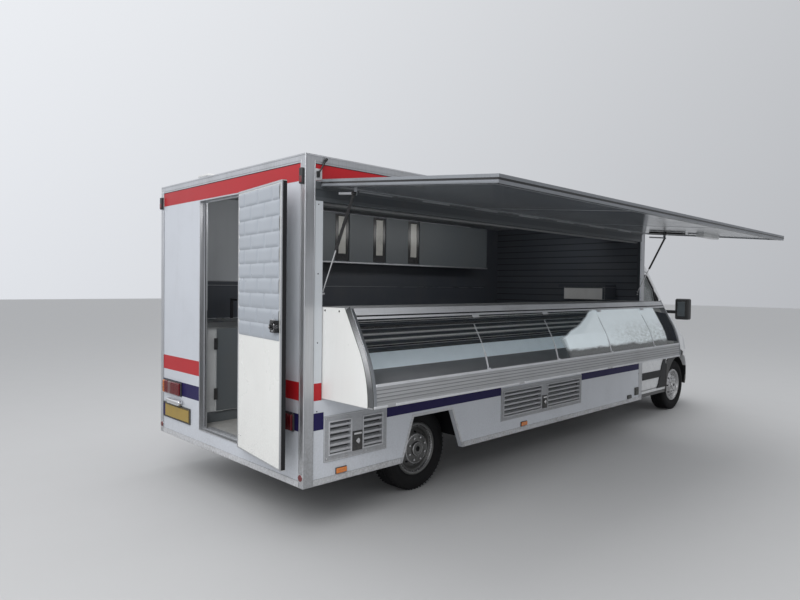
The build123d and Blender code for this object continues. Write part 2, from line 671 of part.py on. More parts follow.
def wall_box():
    """The white box on the front bulkhead."""
    depth, width, height = WALL_BOX
    z = CASE_TOP_Z + WALL_BOX_ABOVE_CASE
    wall = BODY_LENGTH - PROFILE - WALL
    return block(wall - depth, wall, WALL_BOX_Y, WALL_BOX_Y + width, z, z + height)


# Rear fittings


def rear_fitting(size, from_side, z):
    """A block on the left of the rear panel, placed in from the body's side."""
    depth, width, height = size
    left = WALL_Y - from_side
    return block(PROFILE - depth, PROFILE, left - width, left, z, z + height)


def tail_lamps():
    """A three-chamber lamp at each side of the rear wall."""
    lamp = rear_fitting(TAIL_LAMP, TAIL_LAMP_FROM_SIDE, TAIL_LAMP_Z)
    return both_sides(fillet(lamp.edges().group_by(Axis.X)[0], 12))


def number_plate():
    """The blank plate in its holder, with the plate lamp above it."""
    lamp_z = PLATE_Z + PLATE[2] + PLATE_LAMP_ABOVE
    lamp = rear_fitting(PLATE_LAMP, PLATE_LAMP_FROM_SIDE, lamp_z)
    return rear_fitting(PLATE, PLATE_FROM_SIDE, PLATE_Z) + fillet(lamp.edges().group_by(Axis.X)[0], 14)


def marker_lamps():
    """Round reflectors, top corner lamps, side marker lamps and the power inlet."""
    reflector_y = WALL_Y - REFLECTOR_FROM_SIDE
    reflector_z = SKIRT_BOTTOM + REFLECTOR_ABOVE_SKIRT
    pieces = [both_sides(rod(-8, reflector_y, reflector_z, REFLECTOR_RADIUS, 8, "x"))]
    depth, width, height = TOP_LAMP
    left = WALL_Y - TOP_LAMP_FROM_SIDE
    top = BODY_TOP - TOP_LAMP_BELOW_ROOF
    pieces.append(both_sides(block(-depth, 0, left - width, left, top - height, top)))
    length, depth, height = SIDE_LAMP
    for x in SIDE_LAMP_X + (BODY_LENGTH - SIDE_LAMP_FROM_FRONT,):
        place = (PANEL_Y, WALL_Y + depth, SIDE_LAMP_Z, SIDE_LAMP_Z + height)
        pieces.append(both_sides(block(x - length / 2, x + length / 2, *place)))
    length, depth, height = INLET
    start = BODY_LENGTH - INLET_FROM_FRONT
    pieces.append(block(start, start + length, -WALL_Y - depth, -PANEL_Y, INLET_Z, INLET_Z + height))
    return joined(pieces)


# Rear door


def swung(piece):
    """A rear door piece turned from closed to the open rest pose."""
    axis = Axis((DOOR_AXIS_X, DOOR_AXIS_Y, 0), (0, 0, 1))
    return piece.rotate(axis, DOOR_OPEN)


def door_hinge_places():
    """The Z where each moving hinge knuckle starts."""
    return (DOOR_BOTTOM + 150, (DOOR_BOTTOM + DOOR_TOP) / 2, DOOR_TOP - 250)


def rear_door():
    """The door leaf with its hinges on the outside."""
    leaf = block(PROFILE, PROFILE + DOOR_THICK, DOOR_RIGHT, DOOR_LEFT, DOOR_BOTTOM, DOOR_TOP)
    for z in door_hinge_places():
        top = z + DOOR_HINGE_LENGTH
        leaf += block(DOOR_AXIS_X, -DOOR_GAP, DOOR_AXIS_Y, DOOR_RIGHT + 45, z, top)
        leaf += block(-DOOR_GAP, PROFILE, DOOR_RIGHT, DOOR_RIGHT + 45, z, top)
        leaf += rod(DOOR_AXIS_X, DOOR_AXIS_Y, z, DOOR_HINGE_RADIUS, DOOR_HINGE_LENGTH, "z")
    return swung(leaf)


def door_lock():
    """The lock case on the door's inner face and the pull outside."""
    y = DOOR_LEFT - LOCK_FROM_EDGE
    z = DOOR_BOTTOM + LOCK_ABOVE_BOTTOM
    face = PROFILE + DOOR_THICK
    inside = lock_box(face, face + LOCK_DEPTH, 0)
    outside = block(-16, PROFILE, y - 22, y + 22, z - 60, z + 60)
    return Compound(children=[swung(inside), swung(outside)])


# Canopy, drawn level and then dropped to its open angle


def lowered(piece):
    axis = Axis((0, CANOPY_AXIS_Y, CANOPY_HINGE_Z), (1, 0, 0))
    return piece.rotate(axis, CANOPY_DROOP)


def canopy_inside(edge, skin):
    """The canopy's box, smaller by edge all round and by skin above and below."""
    low = CANOPY_HINGE_Z + skin
    high = CANOPY_HINGE_Z + CANOPY_THICK - skin
    return block(CANOPY_START + edge, CANOPY_END - edge, CANOPY_FAR_Y + edge, CANOPY_NEAR_Y - edge, low, high)


def hinge_places():
    """Start and end of each hinge knuckle along the hatch header."""
    start = CANOPY_START + 20
    pitch = (BODY_LENGTH - SIDE_POST_LEG - start) / HINGE_COUNT
    return [(start + index * pitch, start + (index + 1) * pitch) for index in range(HINGE_COUNT)]


def canopy_panel():
    """The sandwich panel, set into the grooves of the edge profiles."""
    return lowered(canopy_inside(CANOPY_EDGE / 2, CANOPY_SKIN))


def canopy_profiles():
    """The edge frame with hinge knuckles and the upper strut brackets."""
    frame = canopy_inside(0, 0) - canopy_inside(CANOPY_EDGE, -5) - canopy_inside(CANOPY_EDGE / 2, CANOPY_SKIN)
    leaf_top = CANOPY_HINGE_Z + HINGE_LEAF
    for x0, x1 in hinge_places()[1::2]:
        start = x0 + RUN_GAP
        end = x1 - RUN_GAP
        frame += rod(start, CANOPY_AXIS_Y, CANOPY_HINGE_Z, HINGE_RADIUS, end - start, "x")
        frame += block(start, end, CANOPY_NEAR_Y - 1, CANOPY_AXIS_Y, CANOPY_HINGE_Z, leaf_top)
    eye_y = CANOPY_AXIS_Y - STRUT_ALONG
    eye_z = CANOPY_HINGE_Z - STRUT_BELOW
    for x, inward in strut_places():
        near = x + inward * (STRUT_EYE_WIDTH / 2 + RUN_GAP)
        far = near + inward * STRUT_EAR
        edge = CANOPY_START + CANOPY_EDGE if inward > 0 else CANOPY_END - CANOPY_EDGE
        frame += block(near, far, eye_y - 14, eye_y + 14, eye_z - STRUT_EYE, leaf_top)
        frame += block(edge - inward * 5, far, eye_y - 25, eye_y + 25, CANOPY_HINGE_Z, leaf_top)
    return lowered(frame)


def canopy_lamp():
    """The strip lamp on the underside near the front end."""
    end = HATCH_END - CANOPY_LAMP_FROM_POST
    y = CANOPY_AXIS_Y - CANOPY_LAMP_ALONG
    top = CANOPY_HINGE_Z + CANOPY_SKIN
    lamp = block(end - CANOPY_LAMP_LENGTH, end, y - 80, y, CANOPY_HINGE_Z - 34, top)
    return lowered(fillet(lamp.edges().group_by(Axis.Z)[0], 10))


def hatch_rails():
    """The fixed canopy hinge, the header rail, the sill that the showcase slides on, and the strut studs."""
    x0 = SIDE_POST_LEG
    x1 = BODY_LENGTH - SIDE_POST_LEG
    middle = CANOPY_HINGE_Z + 5
    low = middle - HINGE_RAIL_HEIGHT / 2
    pieces = [block(x0, x1, -WALL_Y - PROFILE, -PANEL_Y, low, low + HINGE_RAIL_HEIGHT)]
    leaf_top = CANOPY_HINGE_Z + HINGE_RADIUS
    for start, end in hinge_places()[0::2]:
        pieces.append(rod(start, CANOPY_AXIS_Y, CANOPY_HINGE_Z, HINGE_RADIUS, end - start, "x"))
        pieces.append(block(start, end, CANOPY_AXIS_Y, -WALL_Y, leaf_top - HINGE_LEAF, leaf_top))
    pieces.append(block(x0, x1, -WALL_Y, -PANEL_Y, HATCH_TOP, HATCH_TOP + HATCH_RAIL))
    pieces.append(block(HATCH_START, HATCH_END, -WALL_Y, -INNER_Y, HATCH_SILL, CASE_BOTTOM_Z - RUN_GAP))
    stud_y = -WALL_Y + STRUT_FOOT_IN
    for x, inward in strut_places():
        post = HATCH_START if inward > 0 else HATCH_END
        face = x - inward * (STRUT_EYE_WIDTH / 2 + RUN_GAP)
        pieces.append(block(post, face, stud_y - 9, stud_y + 9, STRUT_FOOT_Z - 22, STRUT_FOOT_Z + 22))
    return joined(pieces)


# Gas struts


def strut_places():
    """The X of each strut, just inside the hatch posts, and its direction inwards."""
    return ((HATCH_START + STRUT_FROM_POST, 1), (HATCH_END - STRUT_FROM_POST, -1))


def strut_head():
    """The strut's upper eye at rest, as Y and Z."""
    droop = math.radians(CANOPY_DROOP)
    y = CANOPY_AXIS_Y - STRUT_ALONG * math.cos(droop) + STRUT_BELOW * math.sin(droop)
    z = CANOPY_HINGE_Z - STRUT_ALONG * math.sin(droop) - STRUT_BELOW * math.cos(droop)
    return y, z


def strut_length():
    """The distance from the upper eye to the foot at rest."""
    head_y, head_z = strut_head()
    return math.hypot(-WALL_Y + STRUT_FOOT_IN - head_y, head_z - STRUT_FOOT_Z)


def on_struts(bar):
    """A bar drawn downwards from the origin, laid from the upper eye to the foot of both struts."""
    head_y, head_z = strut_head()
    lean = math.degrees(math.atan2(-WALL_Y + STRUT_FOOT_IN - head_y, head_z - STRUT_FOOT_Z))
    return joined(Pos(x, head_y, head_z) * Rot(lean, 0, 0) * bar for x, inward in strut_places())


def strut_cylinders():
    """The black cylinders with their eyes, bored for the rods."""
    bottom = -STRUT_HEAD - STRUT_CYLINDER
    eye = rod(-STRUT_EYE_WIDTH / 2, 0, 0, STRUT_EYE, STRUT_EYE_WIDTH, "x")
    tube = rod(0, 0, bottom, STRUT_RADIUS, STRUT_CYLINDER, "z")
    bore = rod(0, 0, bottom - 1, STRUT_ROD_RADIUS + STRUT_BORE_GAP, STRUT_CYLINDER - 19, "z")
    return on_struts(eye + tube - bore)


def strut_rods():
    """The bright rods with the lower eyes, which end beside the posts' studs."""
    length = strut_length()
    eye = rod(-STRUT_EYE_WIDTH / 2, 0, -length, STRUT_EYE, STRUT_EYE_WIDTH, "x")
    reach = length - STRUT_HEAD - STRUT_CYLINDER + STRUT_INSERT
    return on_struts(eye + rod(0, 0, -length, STRUT_ROD_RADIUS, reach, "z"))


# Showcase


def case_curve(shrink):
    """The end outline of the showcase, its front line moved in by shrink."""
    lip = CASE_LIP_OUT - shrink
    knee = CASE_KNEE_OUT - shrink * 0.94
    top = CASE_TOP_OUT - shrink
    back = -CASE_BACK_IN
    middle = ((lip + knee) / 2 + CASE_BULGE, (CASE_KNEE_Z + CASE_BOTTOM_Z) / 2)
    with BuildSketch() as outline:
        with BuildLine():
            Line((top, CASE_TOP_Z), (knee, CASE_KNEE_Z))
            ThreePointArc((knee, CASE_KNEE_Z), middle, (lip, CASE_BOTTOM_Z))
            Polyline((lip, CASE_BOTTOM_Z), (back, CASE_BOTTOM_Z), (back, CASE_TOP_Z), (top, CASE_TOP_Z))
        make_face()
    return outline.sketch


def showcase_body():
    """The white cheeks with the tray, the sloping deck and the slatted back between them."""
    cheek = case_curve(CASE_BAND)
    x0 = CASE_START + CASE_CHEEK
    x1 = CASE_END - CASE_CHEEK
    lip = CASE_LIP_OUT - FASCIA_DEPTH
    back = -CASE_BACK_IN
    inner = back + CASE_BOARD
    bottom = CASE_BOTTOM_Z
    deck_front = bottom + DECK_FRONT_HEIGHT
    deck_back = bottom + DECK_BACK_HEIGHT
    rack_z = bottom + RACK_HEIGHT
    board = CASE_BOARD
    tray = Polygon(
        (back, bottom), (lip, bottom), (lip, bottom + 12), (inner, bottom + 12), (inner, deck_back - board),
        (lip, deck_front - board), (lip, deck_front), (inner, deck_back), (inner, rack_z), (back, rack_z),
        align=None,
    )
    body = end_shape(cheek, CASE_START, x0) + end_shape(cheek, x1, CASE_END) + end_shape(tray, x0, x1)
    rail_z = CASE_TOP_Z - CASE_RAIL
    rail_y = -WALL_Y + CASE_BACK_IN
    body += block(x0, x1, rail_y - BACK_RAIL_DEPTH, rail_y, rail_z, CASE_TOP_Z)
    pitch = (rail_z - rack_z) / RACK_SLATS
    for index in range(RACK_SLATS):
        z = rack_z + (index + 0.5) * pitch
        body += block(x0, x1, rail_y - 14, rail_y - 4, z, z + pitch * 0.55)
    return body


def showcase_profiles():
    """The aluminium of the showcase: edge bands, ribbed fascia, top rail and the shelf behind it."""
    x0 = CASE_START + CASE_CHEEK
    x1 = CASE_END - CASE_CHEEK
    band = case_curve(0) - case_curve(CASE_BAND)
    parts = end_shape(band, CASE_START, x0) + end_shape(band, x1, CASE_END)
    corner = (CASE_LIP_OUT - FASCIA_DEPTH, CASE_BOTTOM_Z)
    front_zone = Pos(*corner) * Rectangle(80, FASCIA_HEIGHT, align=(Align.MIN, Align.MIN))
    parts += end_shape(case_curve(0) & front_zone, x0, x1)
    groove_y = -WALL_Y - CASE_LIP_OUT
    pitch = FASCIA_HEIGHT / (FASCIA_GROOVES + 1)
    for index in range(FASCIA_GROOVES):
        z = CASE_BOTTOM_Z + (index + 1) * pitch
        parts -= block(x0, x1, groove_y - 10, groove_y + 3, z, z + FASCIA_GROOVE)
    front_y = -WALL_Y - CASE_TOP_OUT
    rail_back = front_y + CASE_RAIL_DEPTH
    back_rail = -WALL_Y + CASE_BACK_IN - BACK_RAIL_DEPTH
    parts += block(x0, x1, front_y, rail_back, CASE_TOP_Z - CASE_RAIL, CASE_TOP_Z)
    return parts + block(x0, x1, rail_back, back_rail, CASE_TOP_Z - 10, CASE_TOP_Z)


def showcase_glass():
    """The curved front panes with narrow joints."""
    low = CASE_BOTTOM_Z + FASCIA_HEIGHT
    height = CASE_TOP_Z - CASE_RAIL - low
    zone = Pos(0, low, 0) * Rectangle(2 * CASE_LIP_OUT, height, align=(Align.MIN, Align.MIN))
    outline = (case_curve(GLASS) - case_curve(2 * GLASS)) & zone
    starts = (CASE_START + CASE_CHEEK,) + tuple(x + PANE_JOINT / 2 for x in GLASS_JOINTS)
    ends = tuple(x - PANE_JOINT / 2 for x in GLASS_JOINTS) + (CASE_END - CASE_CHEEK,)
    return Compound(children=[end_shape(outline, x0, x1) for x0, x1 in zip(starts, ends)])


# Cab, built from its own rear face


def inset_outline(points, amount):
    """A closed outline moved inwards by amount, corner by corner."""
    count = len(points)
    pairs = [(points[i], points[(i + 1) % count]) for i in range(count)]
    area = sum(here[0] * after[1] - after[0] * here[1] for here, after in pairs)
    turn = math.copysign(math.pi / 2, area)
    moved = []
    for i in range(count):
        before, here, after = points[i - 1], points[i], points[(i + 1) % count]
        first = math.atan2(here[1] - before[1], here[0] - before[0])
        second = math.atan2(after[1] - here[1], after[0] - here[0])
        half = ((second - first + math.pi) % (2 * math.pi) - math.pi) / 2
        reach = min(amount / max(math.cos(half), 0.4), amount * 2) if amount > 0 else amount
        angle = first + half + turn
        moved.append((here[0] + reach * math.cos(angle), here[1] + reach * math.sin(angle)))
    return moved


def across(rows):
    """Rows from the left side to the middle, then mirrored on to the right side."""
    mirrored = [(-row[0],) + tuple(row[1:]) for row in reversed(rows[:-1])]
    return list(rows) + mirrored


@lru_cache(maxsize=None)
def cab_form(inset):
    """The cab's whole outer form, with every surface moved inwards by inset."""
    faces = []
    for y, outline in across(CAB_SECTIONS):
        place = math.copysign(max(abs(y) - inset, 0), y) if y else 0
        faces.append((Plane.XZ.offset(-place) * Polygon(*inset_outline(outline, inset), align=None)).face())
    return loft(faces, ruled=True)


def cab_door_zone(grow, lean):
    """The left door's place seen from the side, larger by grow, its rear edge leaning forward by lean."""
    bottom = CAB_DOOR_BOTTOM - grow
    front = CAB_DOOR_FRONT + grow
    rear = CAB_DOOR_REAR - grow
    top_corners = ((front, 1520 + grow), (580 + grow * 0.5, 1925 + grow), (rear + lean, 1950 + grow))
    return side_shape(((rear, bottom), (front, bottom)) + top_corners, CAB_DOOR_INNER_Y, CAB_HALF + 100)


def door_window_zone():
    """The door's main window and its front quarter window."""
    main = ((140, CAB_BELT), (725, CAB_BELT), (725, 1700), (545, 1870), (140, 1885))
    quarter = ((765, CAB_BELT), (965, CAB_BELT), (965, 1480), (765, 1665))
    return joined(side_shape(outline, CAB_DOOR_INNER_Y - 40, CAB_HALF + 100) for outline in (main, quarter))


def windscreen_zone():
    """The windscreen opening, drawn square to the glass."""
    low = Vector(1465, 0, 1430)
    high = Vector(705, 0, 2075)
    up = (high - low).normalized()
    plane = Plane(origin=(low + high) * 0.5, x_dir=(0, 1, 0), z_dir=Vector(0, 1, 0).cross(up))
    half = (high - low).length / 2 - 48
    outline = Polygon((-810, -half), (810, -half), (735, half), (-735, half), align=None)
    return extrude(plane * outline, amount=260, both=True) & block(625, 1625, -CAB_HALF, CAB_HALF, 1300, 2200)


def cab_hinges():
    """The door half and the wing half of the two left door hinges."""
    door_half = []
    wing_half = []
    leaf_y = CAB_HALF + 4
    for z in CAB_HINGE_Z:
        top = z + CAB_HINGE_LENGTH
        door_half.append(rod(CAB_HINGE_X, CAB_HINGE_Y, z, CAB_HINGE_RADIUS, CAB_HINGE_LENGTH, "z"))
        door_half.append(block(CAB_HINGE_X - CAB_HINGE_LEAF, CAB_HINGE_X, CAB_HALF, leaf_y, z, top))
        low = top + RUN_GAP
        high = low + CAB_HINGE_LENGTH
        wing_half.append(rod(CAB_HINGE_X, CAB_HINGE_Y, low, CAB_HINGE_RADIUS, CAB_HINGE_LENGTH, "z"))
        wing_half.append(block(CAB_HINGE_X, CAB_HINGE_X + CAB_HINGE_LEAF, CAB_HALF, leaf_y, low, high))
    return joined(door_half), joined(wing_half)


def cab_pieces():
    """The cab's shell and front, the left door and the glass, all cut from one form."""
    outer = cab_form(0)
    skin = outer - cab_form(CAB_SKIN)
    glass_skin = cab_form(GLASS_INSET) - cab_form(GLASS_INSET + GLASS)
    well = rod(FRONT_AXLE_AHEAD, WELL_INNER_Y, TYRE_RADIUS, WELL_RADIUS, CAB_HALF, "y")
    liner_y = WELL_INNER_Y - WELL_SKIN
    liner = rod(FRONT_AXLE_AHEAD, liner_y, TYRE_RADIUS, WELL_RADIUS + WELL_SKIN, CAB_HALF, "y")
    screen_zone = windscreen_zone()
    body = skin + both_sides(liner & outer) - both_sides(well) - screen_zone
    body -= both_sides(cab_door_zone(DOOR_SEAM, 0))
    floor_y = RAIL_Y + RAIL_WIDTH / 2 - 10
    body += block(CAB_SKIN, RAIL_INTO_CAB, -floor_y, floor_y, FLOOR_BOTTOM, FLOOR_TOP)
    door_hinge, wing_hinge = cab_hinges()
    front_zone = block(CAB_DOOR_FRONT + DOOR_SEAM, NOSE_AHEAD, -WALL_Y, WALL_Y, 0, BONNET_TOP)
    windows = door_window_zone()
    door = (skin & cab_door_zone(0, CAB_DOOR_LEAN)) - windows + door_hinge
    return {
        "shell": body - front_zone,
        "front": (body & front_zone) + both_sides(wing_hinge),
        "windscreen": glass_skin & screen_zone,
        "door": door,
        "door_glass": glass_skin & windows,
    }


def front_bumper():
    """The bumper: a wrapped band below the grille."""
    faces = []
    for y, back, front in across(BUMPER_SECTIONS):
        outline = (
            (back, BUMPER_BOTTOM), (front - 25, BUMPER_BOTTOM), (front, BUMPER_BOTTOM + 70),
            (front, BUMPER_TOP - 80), (front - 40, BUMPER_TOP), (back, BUMPER_TOP),
        )
        faces.append((Plane.XZ.offset(-y) * Polygon(*outline, align=None)).face())
    return loft(faces, ruled=True) - cab_form(0)


def dashboard():
    """The dash top, firewall, steering column and wheel."""
    outline = ((1045, 1010), (1045, 1240), (1185, 1325), (1425, 1340), (1425, 1010))
    dash = side_shape(outline, -900, 900) & cab_form(CAB_SKIN + RUN_GAP)
    firewall = block(1395, 1425, -460, 460, FLOOR_TOP, 1020)
    tilt = Rot(0, -62, 0)
    wheel = Pos(885, 420, 1215) * tilt * (Torus(195, 14) + Box(60, 380, 16) + Cylinder(45, 30))
    column = Pos(985, 420, 1162) * tilt * Cylinder(28, 240)
    return dash + firewall + wheel + column


def cab_seats():
    """The driver's seat and the double bench."""
    seats = []
    # Named columns: right y, left y
    for y0, y1 in ((180.0, 660.0), (-760.0, 120.0)):
        base = block(255, 715, y0 + 40, y1 - 40, FLOOR_TOP, 760)
        cushion = block(215, 775, y0, y1, 760, 900)
        back = side_shape(((215, 870), (345, 870), (195, 1560), (95, 1560)), y0, y1)
        seats.append(base + cushion + back)
    return joined(seats)


def cab_mirror():
    """The left door mirror on its arm."""
    reach = CAB_HALF + MIRROR_OUT
    arm = block(760, 810, 900, reach - 120, CAB_BELT + 3, CAB_BELT + 43)
    head = fillet(block(715, 815, reach - 175, reach, 1320, 1590).edges(), 22)
    return head + arm - cab_form(-RUN_GAP)


def nose_layer(depth, zone):
    """A skin that stands out of the cab's nose by depth, kept only inside zone."""
    return (cab_form(-depth) - cab_form(0)) & zone


def headlamps():
    """The wedge headlamps at both sides of the nose."""
    outline = ((1625, 830), (2225, 830), (2225, 1010), (1625, 1010))
    return both_sides(nose_layer(12, side_shape(outline, 560, 905)))


def front_grille():
    """The grille frame and its bars between the headlamps."""
    zone = block(1925, 2425, -540, 540, 825, 1010) - block(1825, 2525, -515, 515, 850, 990)
    for z in (840, 885, 930, 975):
        zone += block(1925, 2425, -520, 520, z, z + 24)
    return nose_layer(10, zone)


def engine_block():
    length, width, height = ENGINE
    return block(ENGINE_AHEAD, ENGINE_AHEAD + length, -width / 2, width / 2, FLOOR_TOP, FLOOR_TOP + height)


def body_parts():
    return {
        "chassis_rails": chassis_rails(),
        "cross_members": cross_members(),
        "rear_axle": Pos(REAR_AXLE_X, 0, 0) * rear_axle(),
        "front_suspension": Pos(FRONT_AXLE_X, 0, 0) * front_suspension(),
        "body_floor": body_floor(),
        "roof_panel": roof_panel(),
        "rear_wall": rear_wall(),
        "door_frame": door_frame(),
        "front_wall": front_wall(),
        "left_wall": left_wall(),
        "right_wall": right_wall(),
        "corner_profiles": corner_profiles(),
        "arch_trims": arch_trims(),
        "hatch_rails": hatch_rails(),
        "vent_grilles": vent_grilles(),
        "back_cabinet": back_cabinet(),
        "worktop_sink": worktop_sink(),
        "upper_cabinet": upper_cabinet(),
        "wall_box": wall_box(),
        "tail_lamps": tail_lamps(),
        "number_plate": number_plate(),
        "marker_lamps": marker_lamps(),
        "rear_door": rear_door(),
        "door_lock": door_lock(),
        "canopy_panel": canopy_panel(),
        "canopy_profiles": canopy_profiles(),
        "canopy_lamp": canopy_lamp(),
        "strut_cylinders": strut_cylinders(),
        "strut_rods": strut_rods(),
        "showcase_body": showcase_body(),
        "showcase_profiles": showcase_profiles(),
        "showcase_glass": showcase_glass(),
    }


def cab_parts():
    """Every piece of the cab, moved from its own rear face to its place on the vehicle."""
    cut = cab_pieces()
    mirror_left = cab_mirror()
    pieces = {
        "cab_shell": cut["shell"],
        "cab_front": cut["front"],
        "windscreen": cut["windscreen"],
        "cab_door_left": cut["door"],
        "cab_door_right": other_side(cut["door"]),
        "door_glass_left": cut["door_glass"],
        "door_glass_right": other_side(cut["door_glass"]),
        "mirror_left": mirror_left,
        "mirror_right": other_side(mirror_left),
        "front_bumper": front_bumper(),
        "headlamps": headlamps(),
        "front_grille": front_grille(),
        "dashboard": dashboard(),
        "cab_seats": cab_seats(),
        "engine_block": engine_block(),
    }
    return {name: Pos(CAB_REAR, 0, 0) * piece for name, piece in pieces.items()}


def wheel_parts():
    """The four wheels and the two front knuckles."""
    knuckle_left = Pos(FRONT_AXLE_X, 0, 0) * knuckle()
    pieces = {"knuckle_left": knuckle_left, "knuckle_right": other_side(knuckle_left)}
    for name, piece in (("tyre", tyre()), ("rim", rim())):
        for axle, x in (("rear", REAR_AXLE_X), ("front", FRONT_AXLE_X)):
            left = Pos(x, WHEEL_Y, TYRE_RADIUS) * piece
            pieces[f"{name}_{axle}_left"] = left
            pieces[f"{name}_{axle}_right"] = other_side(left)
    return pieces


def main():
    parts = body_parts() | cab_parts() | wheel_parts()
    for name, piece in parts.items():
        export_step(Pos(-DATUM_X, -DATUM_Y, 0) * piece, f"parts/{name}.step")


main()
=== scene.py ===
"""The food truck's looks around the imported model: finishes for every piece and the small parts on them.

Metres. Places are worked out in the truck's own terms: x forward from the body's rear face, y to the
left of the middle line, z up from the ground. spot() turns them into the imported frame.
"""

import math

import bmesh
import bpy
from mathutils import Matrix, Vector
from mathutils.bvhtree import BVHTree


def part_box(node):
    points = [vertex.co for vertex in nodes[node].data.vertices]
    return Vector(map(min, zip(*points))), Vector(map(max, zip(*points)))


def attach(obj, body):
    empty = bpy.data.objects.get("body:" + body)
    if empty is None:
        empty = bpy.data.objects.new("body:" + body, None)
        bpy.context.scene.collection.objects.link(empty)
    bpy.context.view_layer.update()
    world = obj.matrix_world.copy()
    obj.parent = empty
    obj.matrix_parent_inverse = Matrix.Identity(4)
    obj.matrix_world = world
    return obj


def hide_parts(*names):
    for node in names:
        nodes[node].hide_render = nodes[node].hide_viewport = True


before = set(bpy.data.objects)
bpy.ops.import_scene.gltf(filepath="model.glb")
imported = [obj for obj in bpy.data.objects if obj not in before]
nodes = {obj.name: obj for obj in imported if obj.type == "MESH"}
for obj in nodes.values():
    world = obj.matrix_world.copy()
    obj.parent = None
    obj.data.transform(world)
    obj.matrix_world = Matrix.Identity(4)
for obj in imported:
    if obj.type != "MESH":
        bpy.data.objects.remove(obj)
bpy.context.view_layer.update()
scene = bpy.context.scene

# The truck's own sizes, as in the part's source
BODY_LOW, BODY_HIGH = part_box("corner_profiles")
REAR_X = BODY_LOW[0]
MIDDLE_Y = (BODY_LOW[1] + BODY_HIGH[1]) / 2
BODY_LENGTH = BODY_HIGH[0] - BODY_LOW[0]
WALL_Y = (BODY_HIGH[1] - BODY_LOW[1]) / 2
PANEL_Y = WALL_Y - 0.003
PANEL_X = 0.003
FOIL = 0.0007
REAR_AXLE_X = 1.317
FRONT_AXLE_X = 6.555
WHEEL_Y = 0.806
TYRE_RADIUS = 0.349
RIM_RADIUS = 0.222
CANOPY_AXIS = (-1.136, 2.385)
CANOPY_DROOP = math.radians(5.3)
CANOPY_X = (0.11, 5.08)
CANOPY_REACH = 1.494
DOOR_AXIS = (-0.014, -0.378)
DOOR_OPEN = math.radians(172)
DOOR_Y = (-0.368, 0.362)
DOOR_Z = (0.497, 2.396)
DOOR_INNER_X = 0.037
DOOR_GAP = 0.014
CASE_X = (0.157, 4.90)
CASE_CHEEK = 0.025
CASE_JOINTS = (1.332, 2.310, 3.270, 4.230)
STRIPE_END_Y = 1.075
RED_Z = (0.935, 1.060)
BLUE_Z = (0.725, 0.845)


def spot(x, y, z):
    """A place on the truck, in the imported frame."""
    return Vector((x + REAR_X, y + MIDDLE_Y, z))


def turned_about(point, axis, angle):
    """The turn about a line through point, in the truck's own terms."""
    place = spot(*point)
    return Matrix.Translation(place) @ Matrix.Rotation(angle, 4, axis) @ Matrix.Translation(-place)


OPEN_DOOR = turned_about((DOOR_AXIS[0], DOOR_AXIS[1], 0), "Z", DOOR_OPEN)
OPEN_CANOPY = turned_about((0, CANOPY_AXIS[0], CANOPY_AXIS[1]), "X", CANOPY_DROOP)

# Node trees


def put(tree, kind, values=None, **settings):
    """Adds a node, sets its settings and sets or links its inputs by name or number."""
    node = tree.nodes.new(kind)
    for name, value in settings.items():
        setattr(node, name, value)
    for key, value in (values or {}).items():
        socket = node.inputs[key]
        if isinstance(value, bpy.types.NodeSocket):
            tree.links.new(value, socket)
        else:
            socket.default_value = value
    return node


def sums(tree, operation, *values, clamp=False):
    """A Math node's result."""
    node = put(tree, "ShaderNodeMath", dict(enumerate(values)), operation=operation, use_clamp=clamp)
    return node.outputs[0]


def spread(tree, value, low, high, out_low=0.0, out_high=1.0):
    """A value moved from one range to another and held inside it."""
    values = {"Value": value, "From Min": low, "From Max": high, "To Min": out_low, "To Max": out_high}
    return put(tree, "ShaderNodeMapRange", values).outputs["Result"]


def blended(tree, factor, first, second):
    node = put(tree, "ShaderNodeMix", data_type="RGBA")
    for socket, value in ((node.inputs["Factor"], factor), (node.inputs[6], first), (node.inputs[7], second)):
        if isinstance(value, bpy.types.NodeSocket):
            tree.links.new(value, socket)
        else:
            socket.default_value = value
    return node.outputs[2]


def effect(name, inputs, outputs):
    """An empty shader node group with named sockets."""
    tree = bpy.data.node_groups.new(name, "ShaderNodeTree")
    for label, kind, value in inputs:
        socket = tree.interface.new_socket(label, in_out="INPUT", socket_type=kind)
        socket.default_value = value
    for label, kind in outputs:
        tree.interface.new_socket(label, in_out="OUTPUT", socket_type=kind)
    return tree, tree.nodes.new("NodeGroupInput"), tree.nodes.new("NodeGroupOutput")


FLOAT, COLOR, VECTOR = "NodeSocketFloat", "NodeSocketColor", "NodeSocketVector"


